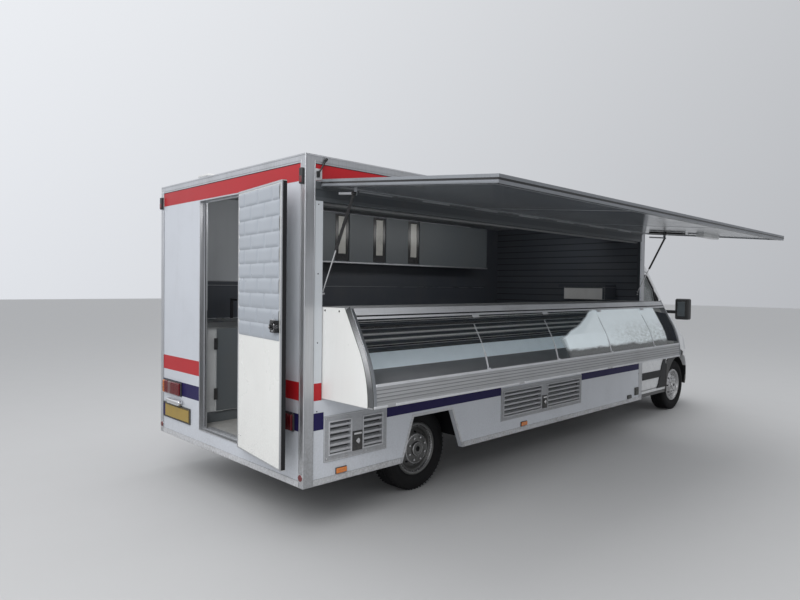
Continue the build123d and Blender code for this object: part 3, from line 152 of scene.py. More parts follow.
def make_weathering():
    """Cloudy variation, specks and road dust that gathers low down."""
    tree, given, result = effect(
        "weathering",
        (
            ("Colour", COLOR, (0.8, 0.8, 0.8, 1)), ("Dirt", COLOR, (0.2, 0.18, 0.16, 1)),
            ("Amount", FLOAT, 0.2), ("Scale", FLOAT, 3.0), ("Low Dust", FLOAT, 0.4),
            ("Rough", FLOAT, 0.4), ("Rough Spread", FLOAT, 0.15)
        ),
        (("Colour", COLOR), ("Rough", FLOAT), ("Height", FLOAT))
    )
    place = put(tree, "ShaderNodeTexCoord").outputs["Object"]
    height = put(tree, "ShaderNodeSeparateXYZ", {0: place}).outputs["Z"]
    clouds = put(
        tree, "ShaderNodeTexNoise", {"Vector": place, "Scale": given.outputs["Scale"], "Detail": 5.0}
    ).outputs[0]
    specks = put(tree, "ShaderNodeTexNoise", {"Vector": place, "Scale": 70.0, "Detail": 3.0}).outputs[0]
    streak_place = put(
        tree, "ShaderNodeVectorMath", {0: place, 1: (9.0, 9.0, 0.7)}, operation="MULTIPLY"
    ).outputs[0]
    streaks = put(
        tree, "ShaderNodeTexNoise", {"Vector": streak_place, "Scale": 2.0, "Detail": 3.0}
    ).outputs[0]
    patches = spread(tree, clouds, 0.48, 0.78)
    patches = sums(tree, "MULTIPLY", patches, sums(tree, "ADD", spread(tree, specks, 0.35, 0.75), 0.35))
    patches = sums(tree, "ADD", patches, spread(tree, streaks, 0.55, 0.85, 0.0, 0.5))
    low = spread(tree, height, 0.95, 0.3)
    low = sums(
        tree, "MULTIPLY", low,
        sums(tree, "MULTIPLY", given.outputs["Low Dust"], spread(tree, specks, 0.3, 0.65))
    )
    mask = sums(tree, "ADD", sums(tree, "MULTIPLY", patches, given.outputs["Amount"]), low, clamp=True)
    tone = blended(tree, mask, given.outputs["Colour"], given.outputs["Dirt"])
    swing = sums(tree, "MULTIPLY", sums(tree, "SUBTRACT", clouds, 0.5), given.outputs["Rough Spread"])
    rough = sums(
        tree, "ADD", sums(tree, "ADD", given.outputs["Rough"], swing), sums(tree, "MULTIPLY", mask, 0.3)
    )
    tree.links.new(tone, result.inputs["Colour"])
    tree.links.new(rough, result.inputs["Rough"])
    tree.links.new(specks, result.inputs["Height"])
    return tree


def make_brushing():
    """Fine lines that run along one direction, as on brushed or drawn metal."""
    tree, given, result = effect(
        "brushing", (("Stretch", VECTOR, (4.0, 400.0, 400.0)),), (("Height", FLOAT), ("Shade", FLOAT))
    )
    place = put(tree, "ShaderNodeTexCoord").outputs["Object"]
    lines = put(
        tree, "ShaderNodeVectorMath", {0: place, 1: given.outputs["Stretch"]}, operation="MULTIPLY"
    ).outputs[0]
    grain = put(tree, "ShaderNodeTexNoise", {"Vector": lines, "Scale": 1.0, "Detail": 4.0}).outputs[0]
    tree.links.new(grain, result.inputs["Height"])
    tree.links.new(spread(tree, grain, 0.3, 0.7, 0.86, 1.06), result.inputs["Shade"])
    return tree


def make_weave():
    """Crossed threads of a woven cloth."""
    tree, given, result = effect("weave", (("Threads", FLOAT, 900.0),), (("Height", FLOAT),))
    place = put(tree, "ShaderNodeTexCoord").outputs["Object"]
    parts = put(tree, "ShaderNodeSeparateXYZ", {0: place})
    along = sums(
        tree, "MULTIPLY", sums(tree, "ADD", parts.outputs["X"], parts.outputs["Z"]),
        given.outputs["Threads"]
    )
    across = sums(tree, "MULTIPLY", parts.outputs["Y"], given.outputs["Threads"])
    height = sums(tree, "MULTIPLY", sums(tree, "SINE", along), sums(tree, "SINE", across))
    tree.links.new(height, result.inputs["Height"])
    return tree


WEATHERING = make_weathering()
BRUSHING = make_brushing()
WEAVE = make_weave()
ROAD_DIRT = (0.16, 0.145, 0.125, 1)


def finish(name, colour, rough, amount=0.15, low=0.3, scale=3.0, spread_by=0.15, dirt=ROAD_DIRT, grain=0.0,
           brushed=None, round_edges=0.0, bump=0.02, **shader):
    """A weathered material. shader holds plain values for the Principled BSDF's own sockets."""
    material = bpy.data.materials.new(name)
    material.use_nodes = True
    tree = material.node_tree
    principled = tree.nodes["Principled BSDF"]
    for socket, value in shader.items():
        principled.inputs[socket.replace("_", " ")].default_value = value
    worn = put(tree, "ShaderNodeGroup", node_tree=WEATHERING)
    for socket, value in (("Colour", (*colour, 1)), ("Dirt", dirt), ("Amount", amount), ("Scale", scale),
                          ("Low Dust", low), ("Rough", rough), ("Rough Spread", spread_by)):
        worn.inputs[socket].default_value = value
    tone = worn.outputs["Colour"]
    height = worn.outputs["Height"]
    if brushed:
        lines = put(tree, "ShaderNodeGroup", node_tree=BRUSHING)
        lines.inputs["Stretch"].default_value = brushed
        shade = put(
            tree, "ShaderNodeCombineColor",
            {0: lines.outputs["Shade"], 1: lines.outputs["Shade"], 2: lines.outputs["Shade"]}
        )
        mixed = put(tree, "ShaderNodeMix", data_type="RGBA", blend_type="MULTIPLY")
        mixed.inputs["Factor"].default_value = 1.0
        tree.links.new(tone, mixed.inputs[6])
        tree.links.new(shade.outputs[0], mixed.inputs[7])
        tone = mixed.outputs[2]
        height = lines.outputs["Height"]
    if grain:
        place = put(tree, "ShaderNodeTexCoord").outputs["Object"]
        cells = put(tree, "ShaderNodeTexVoronoi", {"Vector": place, "Scale": grain}).outputs["Distance"]
        height = cells
    raised = put(tree, "ShaderNodeBump", {"Height": height, "Strength": bump * 10, "Distance": 0.001})
    if round_edges:
        edge = put(tree, "ShaderNodeBevel", {"Radius": round_edges}, samples=4)
        tree.links.new(edge.outputs[0], raised.inputs["Normal"])
    tree.links.new(tone, principled.inputs["Base Color"])
    tree.links.new(worn.outputs["Rough"], principled.inputs["Roughness"])
    tree.links.new(raised.outputs[0], principled.inputs["Normal"])
    return material


def glass(name, colour, rough=0.02, alpha=0.28, amount=0.05):
    """Thin pane: mostly clear with a film of dust, and the shader's own gloss."""
    material = finish(
        name, colour, rough, amount=amount, low=0.1, bump=0.0, Specular_IOR_Level=0.9, Coat_Weight=1.0
    )
    tree = material.node_tree
    principled = tree.nodes["Principled BSDF"]
    place = put(tree, "ShaderNodeTexCoord").outputs["Object"]
    film = put(tree, "ShaderNodeTexNoise", {"Vector": place, "Scale": 5.0, "Detail": 5.0}).outputs[0]
    tree.links.new(spread(tree, film, 0.4, 0.8, alpha, alpha + 0.1), principled.inputs["Alpha"])
    return material


WHITE = (0.63, 0.655, 0.70)
ALU = (0.56, 0.57, 0.59)
white_panel = finish(
    "white_panel_paint", WHITE, 0.32, amount=0.10, low=0.15, Coat_Weight=0.25, Coat_Roughness=0.1
)
# Painted shade: the rear wall's white is a darker copy of the side walls' white.
rear_white_painted_shade = finish("rear_panel_paint", (0.56, 0.585, 0.63), 0.32, amount=0.10, low=0.15, Coat_Weight=0.25,
                    Coat_Roughness=0.1)
red_foil = finish(
    "red_foil", (0.43, 0.014, 0.020), 0.38, amount=0.12, low=0.1, dirt=(0.30, 0.08, 0.08, 1),
    Specular_IOR_Level=0.3
)
blue_foil = finish(
    "blue_foil", (0.016, 0.012, 0.075), 0.5, amount=0.10, low=0.1, dirt=(0.05, 0.045, 0.10, 1),
    Specular_IOR_Level=0.18
)
satin_alu = finish(
    "satin_aluminium", ALU, 0.36, amount=0.20, low=0.3, brushed=(350.0, 350.0, 3.0), round_edges=0.0025,
    Metallic=0.85
)
drawn_alu = finish(
    "drawn_aluminium", (0.34, 0.355, 0.375), 0.34, amount=0.22, low=0.2, brushed=(3.0, 350.0, 350.0),
    round_edges=0.002, Metallic=0.9
)
light_alu = finish(
    "light_anodised_trim", (0.66, 0.67, 0.69), 0.40, amount=0.25, low=0.35, brushed=(3.0, 350.0, 350.0),
    round_edges=0.002, Metallic=0.3
)
strip_grey = finish("post_strip_grey", (0.60, 0.63, 0.66), 0.45, amount=0.15, low=0.2)
# Painted shade: a dark grey lining for the shade under the canopy.
header_painted_shade = finish("header_dark_grey", (0.050, 0.058, 0.066), 0.45, amount=0.2, low=0.1)
vent_grey = finish("vent_grey_enamel", (0.38, 0.39, 0.41), 0.42, amount=0.22, low=0.45, round_edges=0.001)
steel_top = finish(
    "brushed_steel", (0.50, 0.51, 0.52), 0.28, amount=0.15, low=0.0, brushed=(3.0, 500.0, 500.0),
    Metallic=1.0
)
chrome = finish("bright_chrome", (0.70, 0.70, 0.71), 0.10, amount=0.18, low=0.15, scale=14.0, Metallic=1.0)
wheel_trim = finish(
    "wheel_trim_steel", (0.60, 0.60, 0.61), 0.20, amount=0.30, low=0.35, scale=12.0, round_edges=0.004,
    Metallic=1.0
)
tyre_rubber = finish(
    "tyre_rubber", (0.012, 0.012, 0.013), 0.78, amount=0.30, low=0.12, scale=9.0,
    dirt=(0.03, 0.028, 0.026, 1), bump=0.05, Specular_IOR_Level=0.15
)
black_rubber = finish(
    "black_rubber", (0.014, 0.014, 0.016), 0.6, amount=0.2, low=0.1, dirt=(0.03, 0.03, 0.03, 1),
    Specular_IOR_Level=0.2
)
black_plastic = finish(
    "grained_black_plastic", (0.028, 0.029, 0.031), 0.5, amount=0.2, low=0.4, grain=900.0, bump=0.03,
    round_edges=0.006
)
strip_black = finish(
    "rub_strip_black", (0.016, 0.018, 0.021), 0.6, amount=0.2, low=0.2, Specular_IOR_Level=0.3
)
gloss_black = finish("gloss_black_paint", (0.012, 0.012, 0.013), 0.18, amount=0.12, low=0.1)
chassis_black = finish(
    "chassis_paint", (0.012, 0.012, 0.013), 0.6, amount=0.3, low=0.15, scale=7.0,
    dirt=(0.04, 0.037, 0.033, 1), Specular_IOR_Level=0.2
)
cast_grey = finish(
    "engine_casting", (0.12, 0.12, 0.12), 0.55, amount=0.5, low=0.2, scale=9.0, grain=260.0,
    Metallic=0.6
)
vent_light = finish("vent_light_enamel", (0.50, 0.51, 0.53), 0.42, amount=0.2, low=0.3)
vent_shadow = finish("vent_shadow_grey", (0.07, 0.072, 0.075), 0.5, amount=0.2, low=0.1)
dish_grey = finish(
    "wheel_dish_grey", (0.17, 0.172, 0.17), 0.30, amount=0.3, low=0.2, scale=14.0, Metallic=0.75
)
floor_grey = finish("floor_covering", (0.34, 0.34, 0.33), 0.6, amount=0.45, low=0.3, scale=8.0, grain=240.0)
cabinet_white = finish(
    "cabinet_white_laminate", (0.72, 0.73, 0.73), 0.35, amount=0.12, low=0.15, round_edges=0.002
)
dark_laminate = finish("dark_laminate", (0.055, 0.062, 0.075), 0.36, amount=0.15, low=0.1, scale=5.0)
door_dark = finish("cabinet_door_grey", (0.115, 0.13, 0.14), 0.40, amount=0.2, low=0.2)
box_white = finish("box_white_enamel", (0.62, 0.62, 0.61), 0.4, amount=0.2, low=0.0, round_edges=0.004)
case_white = finish(
    "showcase_white_laminate", (0.80, 0.80, 0.78), 0.30, amount=0.10, low=0.1, round_edges=0.002,
    Coat_Weight=0.4
)
quilt_grey = finish("quilted_door_skin", (0.35, 0.38, 0.42), 0.30, amount=0.10, low=0.0, Coat_Weight=0.3)
door_cream = finish("door_smooth_white", (0.80, 0.80, 0.77), 0.28, amount=0.06, low=0.2, Coat_Weight=0.4)
lamp_red = finish("lamp_red_lens", (0.13, 0.004, 0.008), 0.25, amount=0.12, low=0.1, Coat_Weight=0.15)
lamp_dull = finish("lamp_dull_lens", (0.22, 0.14, 0.14), 0.3, amount=0.15, low=0.2, Coat_Weight=0.2)
socket_grey = finish("socket_grey_plastic", (0.05, 0.055, 0.05), 0.45, amount=0.2, low=0.3, round_edges=0.003)
lamp_amber = finish("lamp_amber_lens", (0.72, 0.20, 0.015), 0.16, amount=0.15, low=0.2, Coat_Weight=1.0)
lamp_clear = finish("lamp_clear_lens", (0.62, 0.64, 0.66), 0.12, amount=0.1, low=0.2, Coat_Weight=1.0)
plate_yellow = finish("plate_yellow", (0.34, 0.22, 0.02), 0.35, amount=0.15, low=0.3)
dash_grey = finish(
    "dash_grained_grey", (0.05, 0.052, 0.056), 0.6, amount=0.1, low=0.0, grain=700.0, round_edges=0.01
)
seat_cloth = finish("seat_cloth", (0.055, 0.062, 0.078), 0.85, amount=0.2, low=0.0, Sheen_Weight=0.3)
wall_grey = finish("inside_wall_grey", (0.47, 0.49, 0.51), 0.45, amount=0.12, low=0.1)
cab_glass = glass("cab_tinted_glass", (0.02, 0.028, 0.03), alpha=0.55)
door_glass = glass("door_window_glass", (0.16, 0.20, 0.19), alpha=0.25)
lit_lens = finish("canopy_lamp_lens", (0.75, 0.76, 0.76), 0.3, amount=0.1, low=0.0)


def weave_on(material, threads):
    """Puts a cloth's threads into a material's bump."""
    tree = material.node_tree
    bump = next(node for node in tree.nodes if node.type == "BUMP")
    threads_node = put(tree, "ShaderNodeGroup", node_tree=WEAVE)
    threads_node.inputs["Threads"].default_value = threads
    tree.links.new(threads_node.outputs["Height"], bump.inputs["Height"])


weave_on(seat_cloth, 1400.0)


def make_canopy_skin():
    """Dark gloss underneath and white above, chosen by which way the panel's own faces point."""
    material = finish(
        "canopy_skin", (0.170, 0.185, 0.200), 0.16, amount=0.22, low=0.0, scale=2.2,
        dirt=(0.20, 0.19, 0.18, 1), Coat_Weight=0.12, Coat_Roughness=0.12, Specular_IOR_Level=0.42
    )
    tree = material.node_tree
    principled = tree.nodes["Principled BSDF"]
    up = put(
        tree, "ShaderNodeSeparateXYZ", {0: put(tree, "ShaderNodeTexCoord").outputs["Normal"]}
    ).outputs["Z"]
    dark = principled.inputs["Base Color"].links[0].from_socket
    tree.links.new(
        blended(tree, spread(tree, up, -0.1, 0.1), dark, (0.62, 0.63, 0.64, 1)),
        principled.inputs["Base Color"]
    )
    return material


canopy_skin = make_canopy_skin()


def make_bulkhead(name, colour, pitch, rough):
    """A wall of narrow level boards with dark joints."""
    material = finish(name, colour, rough, amount=0.15, low=0.0)
    tree = material.node_tree
    principled = tree.nodes["Principled BSDF"]
    height = put(
        tree, "ShaderNodeSeparateXYZ", {0: put(tree, "ShaderNodeTexCoord").outputs["Object"]}
    ).outputs["Z"]
    saw = sums(tree, "FRACT", sums(tree, "DIVIDE", height, pitch))
    joint = spread(tree, sums(tree, "PINGPONG", saw, 0.5), 0.02, 0.09)
    board = principled.inputs["Base Color"].links[0].from_socket
    tree.links.new(blended(tree, joint, (0.012, 0.012, 0.014, 1), board), principled.inputs["Base Color"])
    bump = next(node for node in tree.nodes if node.type == "BUMP")
    bump.inputs["Distance"].default_value = 0.004
    tree.links.new(joint, bump.inputs["Height"])
    return material


boarded_dark = make_bulkhead("dark_boarded_wall", (0.075, 0.084, 0.10), 0.085, 0.35)


def make_case_glass():
    """Clear curved panes. Over the front half, a painted reflection of sky and trees with a painted highlight
    band, glowing slightly.
    """
    material = finish(
        "showcase_glass", (0.02, 0.025, 0.028), 0.05, amount=0.0, low=0.0, bump=0.0, Coat_Roughness=0.03
    )
    tree = material.node_tree
    principled = tree.nodes["Principled BSDF"]
    place = put(tree, "ShaderNodeTexCoord").outputs["Object"]
    parts = put(tree, "ShaderNodeSeparateXYZ", {0: place})
    drift = put(tree, "ShaderNodeTexNoise", {"Vector": place, "Scale": 1.7, "Detail": 2.0}).outputs[0]
    along = sums(tree, "SUBTRACT", parts.outputs["X"], REAR_X)
    over = sums(tree, "MAXIMUM", sums(tree, "SUBTRACT", parts.outputs["Z"], 1.30), -0.03)
    slope = sums(tree, "MULTIPLY", over, 3.6)
    start = sums(tree, "ADD", sums(tree, "ADD", slope, 2.26), sums(tree, "MULTIPLY", drift, 0.5))
    front = spread(tree, sums(tree, "SUBTRACT", along, start), 0.0, 0.07)
    ripple_place = put(
        tree, "ShaderNodeVectorMath", {0: place, 1: (2.2, 1.0, 9.0)}, operation="MULTIPLY"
    ).outputs[0]
    ripple = put(tree, "ShaderNodeTexNoise", {"Vector": ripple_place, "Scale": 2.6, "Detail": 5.0}).outputs[0]
    height = sums(
        tree, "ADD", parts.outputs["Z"],
        sums(tree, "MULTIPLY", sums(tree, "SUBTRACT", ripple, 0.5), 0.06)
    )
    # Painted highlight: the panes are bright above a wavy line, where they mirror the sky.
    bright = spread(tree, sums(tree, "ADD", height, sums(tree, "MULTIPLY", along, 0.006)), 1.165, 1.19)
    front = sums(tree, "MULTIPLY", front, spread(tree, along, 4.62, 4.58))
    film = put(tree, "ShaderNodeTexNoise", {"Vector": place, "Scale": 9.0, "Detail": 5.0}).outputs[0]
    dust = spread(tree, film, 0.45, 0.8, 0.02, 0.05)
    alpha = sums(tree, "ADD", sums(tree, "MULTIPLY", front, 0.70), dust, clamp=True)
    tree.links.new(alpha, principled.inputs["Alpha"])
    tree.links.new(sums(tree, "MULTIPLY", front, bright), principled.inputs["Coat Weight"])
    twig_place = put(
        tree, "ShaderNodeVectorMath", {0: place, 1: (3.0, 1.0, 7.0)}, operation="MULTIPLY"
    ).outputs[0]
    twigs = put(
        tree, "ShaderNodeTexNoise",
        {"Vector": twig_place, "Scale": 6.0, "Detail": 8.0, "Roughness": 0.7}
    ).outputs[0]
    trees = sums(tree, "MULTIPLY", spread(tree, along, 3.2, 3.9), spread(tree, height, 1.40, 1.24))
    trees = sums(tree, "MULTIPLY", trees, spread(tree, twigs, 0.38, 0.74))
    sky = blended(tree, trees, (0.74, 0.81, 0.84, 1), (0.30, 0.32, 0.31, 1))
    mirrored = blended(tree, bright, (0.13, 0.135, 0.135, 1), sky)
    seen = blended(tree, front, (0.05, 0.055, 0.06, 1), mirrored)
    tree.links.new(seen, principled.inputs["Base Color"])
    # Painted light: the painted reflection glows a little.
    tree.links.new(blended(tree, front, (0, 0, 0, 1), mirrored), principled.inputs["Emission Color"])
    principled.inputs["Emission Strength"].default_value = 0.27
    return material


def make_band_painted_reflection():
    """Polished edge band whose base colour is a painted reflection: dark ends and a bright painted highlight
    in the middle.
    """
    material = finish(
        "polished_edge_band", (0.5, 0.5, 0.5), 0.22, amount=0.1, low=0.0, Metallic=0.8,
        round_edges=0.002
    )
    tree = material.node_tree
    principled = tree.nodes["Principled BSDF"]
    parts = put(tree, "ShaderNodeSeparateXYZ", {0: put(tree, "ShaderNodeTexCoord").outputs["Object"]})
    # Painted highlight: bright across the middle heights, dark towards both ends.
    upper = spread(tree, parts.outputs["Z"], 1.56, 1.34)
    lower = spread(tree, parts.outputs["Z"], 1.06, 1.26)
    bright = sums(tree, "MULTIPLY", upper, lower)
    tone = blended(tree, bright, (0.16, 0.165, 0.17, 1), (0.88, 0.88, 0.89, 1))
    tree.links.new(tone, principled.inputs["Base Color"])
    return material


def toned_by_height(material, low, high, other, under=True):
    """Another colour below (or above) a height, with a short fade between low and high."""
    tree = material.node_tree
    principled = tree.nodes["Principled BSDF"]
    height = put(
        tree, "ShaderNodeSeparateXYZ", {0: put(tree, "ShaderNodeTexCoord").outputs["Object"]}
    ).outputs["Z"]
    share = spread(tree, height, high, low) if under else spread(tree, height, low, high)
    colour = principled.inputs["Base Color"].links[0].from_socket
    tree.links.new(blended(tree, share, colour, (*other, 1)), principled.inputs["Base Color"])
    return share


def make_rail_metal_painted_shade():
    """Bright metal at the sill, dark grey above the hatch: painted shade under the canopy."""
    material = finish(
        "hatch_rail_metal", ALU, 0.34, amount=0.2, low=0.2, brushed=(3.0, 350.0, 350.0),
        round_edges=0.002
    )
    # Painted shade: dark grey and less metallic above 2.2 m.
    share = toned_by_height(material, 2.20, 2.25, (0.075, 0.083, 0.09), under=False)
    tree = material.node_tree
    tree.links.new(
        sums(tree, "SUBTRACT", 0.85, sums(tree, "MULTIPLY", share, 0.85)),
        tree.nodes["Principled BSDF"].inputs["Metallic"]
    )
    return material


def make_worktop_metal():
    """Brushed steel whose tap is black."""
    material = finish(
        "worktop_steel", (0.50, 0.51, 0.52), 0.28, amount=0.15, low=0.0, brushed=(3.0, 500.0, 500.0)
    )
    tree = material.node_tree
    principled = tree.nodes["Principled BSDF"]
    parts = put(tree, "ShaderNodeSeparateXYZ", {0: put(tree, "ShaderNodeTexCoord").outputs["Object"]})
    tap = sums(tree, "MULTIPLY", spread(tree, parts.outputs["Z"], 1.378, 1.380),
               spread(tree, parts.outputs["Y"], MIDDLE_Y + 1.068, MIDDLE_Y + 1.066))
    steel = principled.inputs["Base Color"].links[0].from_socket
    tree.links.new(blended(tree, tap, steel, (0.014, 0.014, 0.015, 1)), principled.inputs["Base Color"])
    tree.links.new(sums(tree, "SUBTRACT", 1.0, tap), principled.inputs["Metallic"])
    return material


def make_cab_paint():
    """White cab paint, black at the sill and low down in front of the wheels."""
    material = finish(
        "cab_white_paint", (0.80, 0.81, 0.82), 0.25, amount=0.08, low=0.35, round_edges=0.022,
        Coat_Weight=0.35, Coat_Roughness=0.05
    )
    toned_by_height(material, 0.352, 0.354, (0.008, 0.008, 0.009))
    tree = material.node_tree
    principled = tree.nodes["Principled BSDF"]
    parts = put(tree, "ShaderNodeSeparateXYZ", {0: put(tree, "ShaderNodeTexCoord").outputs["Object"]})
    share = sums(tree, "MULTIPLY", spread(tree, parts.outputs["X"], REAR_X + 6.66, REAR_X + 6.67),
                 spread(tree, parts.outputs["Z"], 0.602, 0.598))
    colour = principled.inputs["Base Color"].links[0].from_socket
    tree.links.new(blended(tree, share, colour, (0.020, 0.021, 0.022, 1)), principled.inputs["Base Color"])
    return material


rail_alu_painted_shade = make_rail_metal_painted_shade()
# Painted shade: the body floor turns near black below 0.47 m, under the body.
toned_by_height(floor_grey, 0.468, 0.472, (0.010, 0.010, 0.011))
worktop_metal = make_worktop_metal()
cab_paint = make_cab_paint()
mirror_glass = finish("mirror_glass", (0.20, 0.22, 0.22), 0.06, amount=0.1, low=0.1, Metallic=1.0)
case_glass = make_case_glass()
band_painted_reflection = make_band_painted_reflection()
slat_grey = finish("slat_grey", (0.060, 0.070, 0.078), 0.22, amount=0.1, low=0.0, Specular_IOR_Level=0.8)
# Painted light: the pale blue lining glows a little though it is no lamp.
band_blue_painted_glow = finish("pale_blue_lining", (0.76, 0.84, 0.88), 0.35, amount=0.08, low=0.0,
                   Emission_Color=(0.75, 0.90, 1.0, 1), Emission_Strength=0.14)
deck_grey = finish("deck_grey", (0.21, 0.215, 0.225), 0.4, amount=0.15, low=0.0)
fascia_alu = finish(
    "ribbed_fascia", (0.45, 0.455, 0.465), 0.40, amount=0.15, low=0.0, brushed=(3.0, 350.0, 350.0),
    round_edges=0.002, Metallic=0.4
)
groove_grey = finish("groove_grey", (0.20, 0.205, 0.21), 0.4, amount=0.1, low=0.0)
mirror_pane = finish(
    "mirror_pane", (0.55, 0.54, 0.50), 0.2, amount=0.6, low=0.0, scale=6.0, dirt=(0.10, 0.11, 0.10, 1)
)

FINISH_OF = {
    rear_white_painted_shade: ("rear_wall",), white_panel: ("roof_panel", "left_wall", "right_wall", "front_wall"),
    satin_alu: ("corner_profiles", "door_frame"), light_alu: ("arch_trims",),
    rail_alu_painted_shade: ("hatch_rails",), drawn_alu: ("canopy_profiles",), fascia_alu: ("showcase_profiles",),
    vent_grey: ("vent_grilles",),
    chassis_black: (
        "chassis_rails", "cross_members", "rear_axle", "front_suspension", "knuckle_left",
        "knuckle_right"
    ),
    cast_grey: ("engine_block",), floor_grey: ("body_floor",), cabinet_white: ("back_cabinet",),
    worktop_metal: ("worktop_sink",), dark_laminate: ("upper_cabinet",), box_white: ("wall_box",),
    gloss_black: ("strut_cylinders", "door_lock"), chrome: ("strut_rods",),
    case_white: ("showcase_body",), case_glass: ("showcase_glass",), canopy_skin: ("canopy_panel",),
    door_cream: ("rear_door",), lit_lens: ("canopy_lamp",),
    cab_paint: ("cab_shell", "cab_front", "cab_door_left", "cab_door_right"),
    cab_glass: ("windscreen",), door_glass: ("door_glass_left", "door_glass_right"),
    black_plastic: ("mirror_left", "mirror_right", "front_bumper", "front_grille"),
    lamp_clear: ("headlamps",), dash_grey: ("dashboard",), seat_cloth: ("cab_seats",),
    wheel_trim: tuple(f"rim_{axle}_{side}" for axle in ("rear", "front") for side in ("left", "right")),
    tyre_rubber: tuple(
        f"tyre_{axle}_{side}"
        for axle in ("rear", "front")
        for side in ("left", "right")
    ),
    lamp_red: ("tail_lamps",), lamp_amber: ("marker_lamps",), plate_yellow: ("number_plate",)
}
for material, names in FINISH_OF.items():
    for name in names:
        for slot in nodes[name].material_slots:
            slot.material = material

# Mesh pieces


class Shape:
    """Simple solids gathered into one mesh, in the truck's own terms."""

    def __init__(self):
        self.mesh = bmesh.new()

    def box(self, x0, x1, y0, y1, z0, z1):
        middle = spot((x0 + x1) / 2, (y0 + y1) / 2, (z0 + z1) / 2)
        size = Matrix.Diagonal((abs(x1 - x0), abs(y1 - y0), abs(z1 - z0), 1))
        bmesh.ops.create_cube(self.mesh, size=1, matrix=Matrix.Translation(middle) @ size)
        return self

    def rod(self, start, end, radius, sides=16, tip=None):
        """A round bar between two places, tapering to tip where that is given."""
        a, b = spot(*start), spot(*end)
        turn = (b - a).to_track_quat("Z", "Y").to_matrix().to_4x4()
        bmesh.ops.create_cone(self.mesh, cap_ends=True, segments=sides, radius1=radius,
                              radius2=radius if tip is None else tip, depth=(b - a).length,
                              matrix=Matrix.Translation((a + b) / 2) @ turn)
        return self

    def bar(self, points, width, depth, facing):
        """A flat strip that follows points, as wide as width across facing and depth thick along it."""
        facing = Vector(facing).normalized()
        places = [spot(*point) for point in points]
        rings = []
        for index, place in enumerate(places):
            before = places[max(index - 1, 0)]
            after = places[min(index + 1, len(places) - 1)]
            side = (after - before).normalized().cross(facing) * width / 2
            lift = facing * depth / 2
            rings.append(
                [
                    self.mesh.verts.new(place + s * side + l * lift)
                    for s, l in ((-1, -1), (1, -1), (1, 1), (-1, 1))
                ]
            )
        for first, second in zip(rings, rings[1:]):
            for i in range(4):
                j = (i + 1) % 4
                self.mesh.faces.new((first[i], first[j], second[j], second[i]))
        self.mesh.faces.new(rings[0][::-1])
        self.mesh.faces.new(rings[-1])
        return self

    def tube(self, points, radius, sides=10, closed=False):
        """A round tube that follows points."""
        places = [spot(*point) for point in points]
        count = len(places)
        rings = []
        for index, place in enumerate(places):
            before = places[index - 1] if closed or index else place
            after = places[(index + 1) % count] if closed or index < count - 1 else place
            turn = (after - before).to_track_quat("Z", "Y")
            ring = [turn @ Vector((radius * math.cos(a), radius * math.sin(a), 0))
                    for a in (math.tau * k / sides for k in range(sides))]
            rings.append([self.mesh.verts.new(place + offset) for offset in ring])
        pairs = list(zip(rings, rings[1:] + rings[:1])) if closed else list(zip(rings, rings[1:]))
        for first, second in pairs:
            for i in range(sides):
                j = (i + 1) % sides
                self.mesh.faces.new((first[i], first[j], second[j], second[i]))
        if not closed:
            self.mesh.faces.new(rings[0][::-1])
            self.mesh.faces.new(rings[-1])
        return self

    def slab(self, outline, thickness, along):
        """A closed outline of places, given a thickness along one direction."""
        low = [self.mesh.verts.new(spot(*point)) for point in outline]
        high = [self.mesh.verts.new(vert.co + Vector(along) * thickness) for vert in low]
        count = len(low)
        for i in range(count):
            j = (i + 1) % count
            self.mesh.faces.new((low[i], low[j], high[j], high[i]))
        self.mesh.faces.new(low[::-1])
        self.mesh.faces.new(high)
        return self

    def lathe(self, profile, centre, steps=64):
        """A closed outline of (radius, y) turned about a line along Y through centre."""
        rings = []
        for k in range(steps):
            angle = math.tau * k / steps
            rings.append(
                [
                    self.mesh.verts.new(
                        spot(
                            centre[0] + r * math.sin(angle), centre[1] + y,
                            centre[2] + r * math.cos(angle)
                        )
                    )
                    for r, y in profile
                ]
            )
        count = len(profile)
        for k in range(steps):
            first, second = rings[k], rings[(k + 1) % steps]
            for i in range(count):
                j = (i + 1) % count
                self.mesh.faces.new((first[i], second[i], second[j], first[j]))
        return self

    def done(self, name, body, material, slot, bevel=0.0, turn=None, smooth=40):
        """Closes the mesh as a named piece that rides on a body."""
        bmesh.ops.recalc_face_normals(self.mesh, faces=self.mesh.faces[:])
        mesh = bpy.data.meshes.new(name)
        self.mesh.to_mesh(mesh)
        self.mesh.free()
        return settle(name, mesh, body, material, slot, bevel, turn, smooth)


def settle(name, mesh, body, material, slot, bevel=0.0, turn=None, smooth=40):
    """Makes a piece from a mesh: its turn, shading, bevel, material and body. The slot argument is not used.
    """
    if turn:
        mesh.transform(turn)
    mesh.shade_smooth()
    mesh.set_sharp_from_angle(angle=math.radians(smooth))
    piece = bpy.data.objects.new(name, mesh)
    scene.collection.objects.link(piece)
    if material:
        mesh.materials.clear()
        mesh.materials.append(material)
    if bevel:
        rounding = piece.modifiers.new("rounding", "BEVEL")
        rounding.width = bevel
        rounding.segments = 2
        rounding.limit_method = "ANGLE"
    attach(piece, body)
    return piece


def boxes(name, body, material, slot, *rows, **how):
    """One piece from rows of box limits."""
    shape = Shape()
    for row in rows:
        shape.box(*row)
    return shape.done(name, body, material, slot, **how)


# Geometry Nodes for what repeats


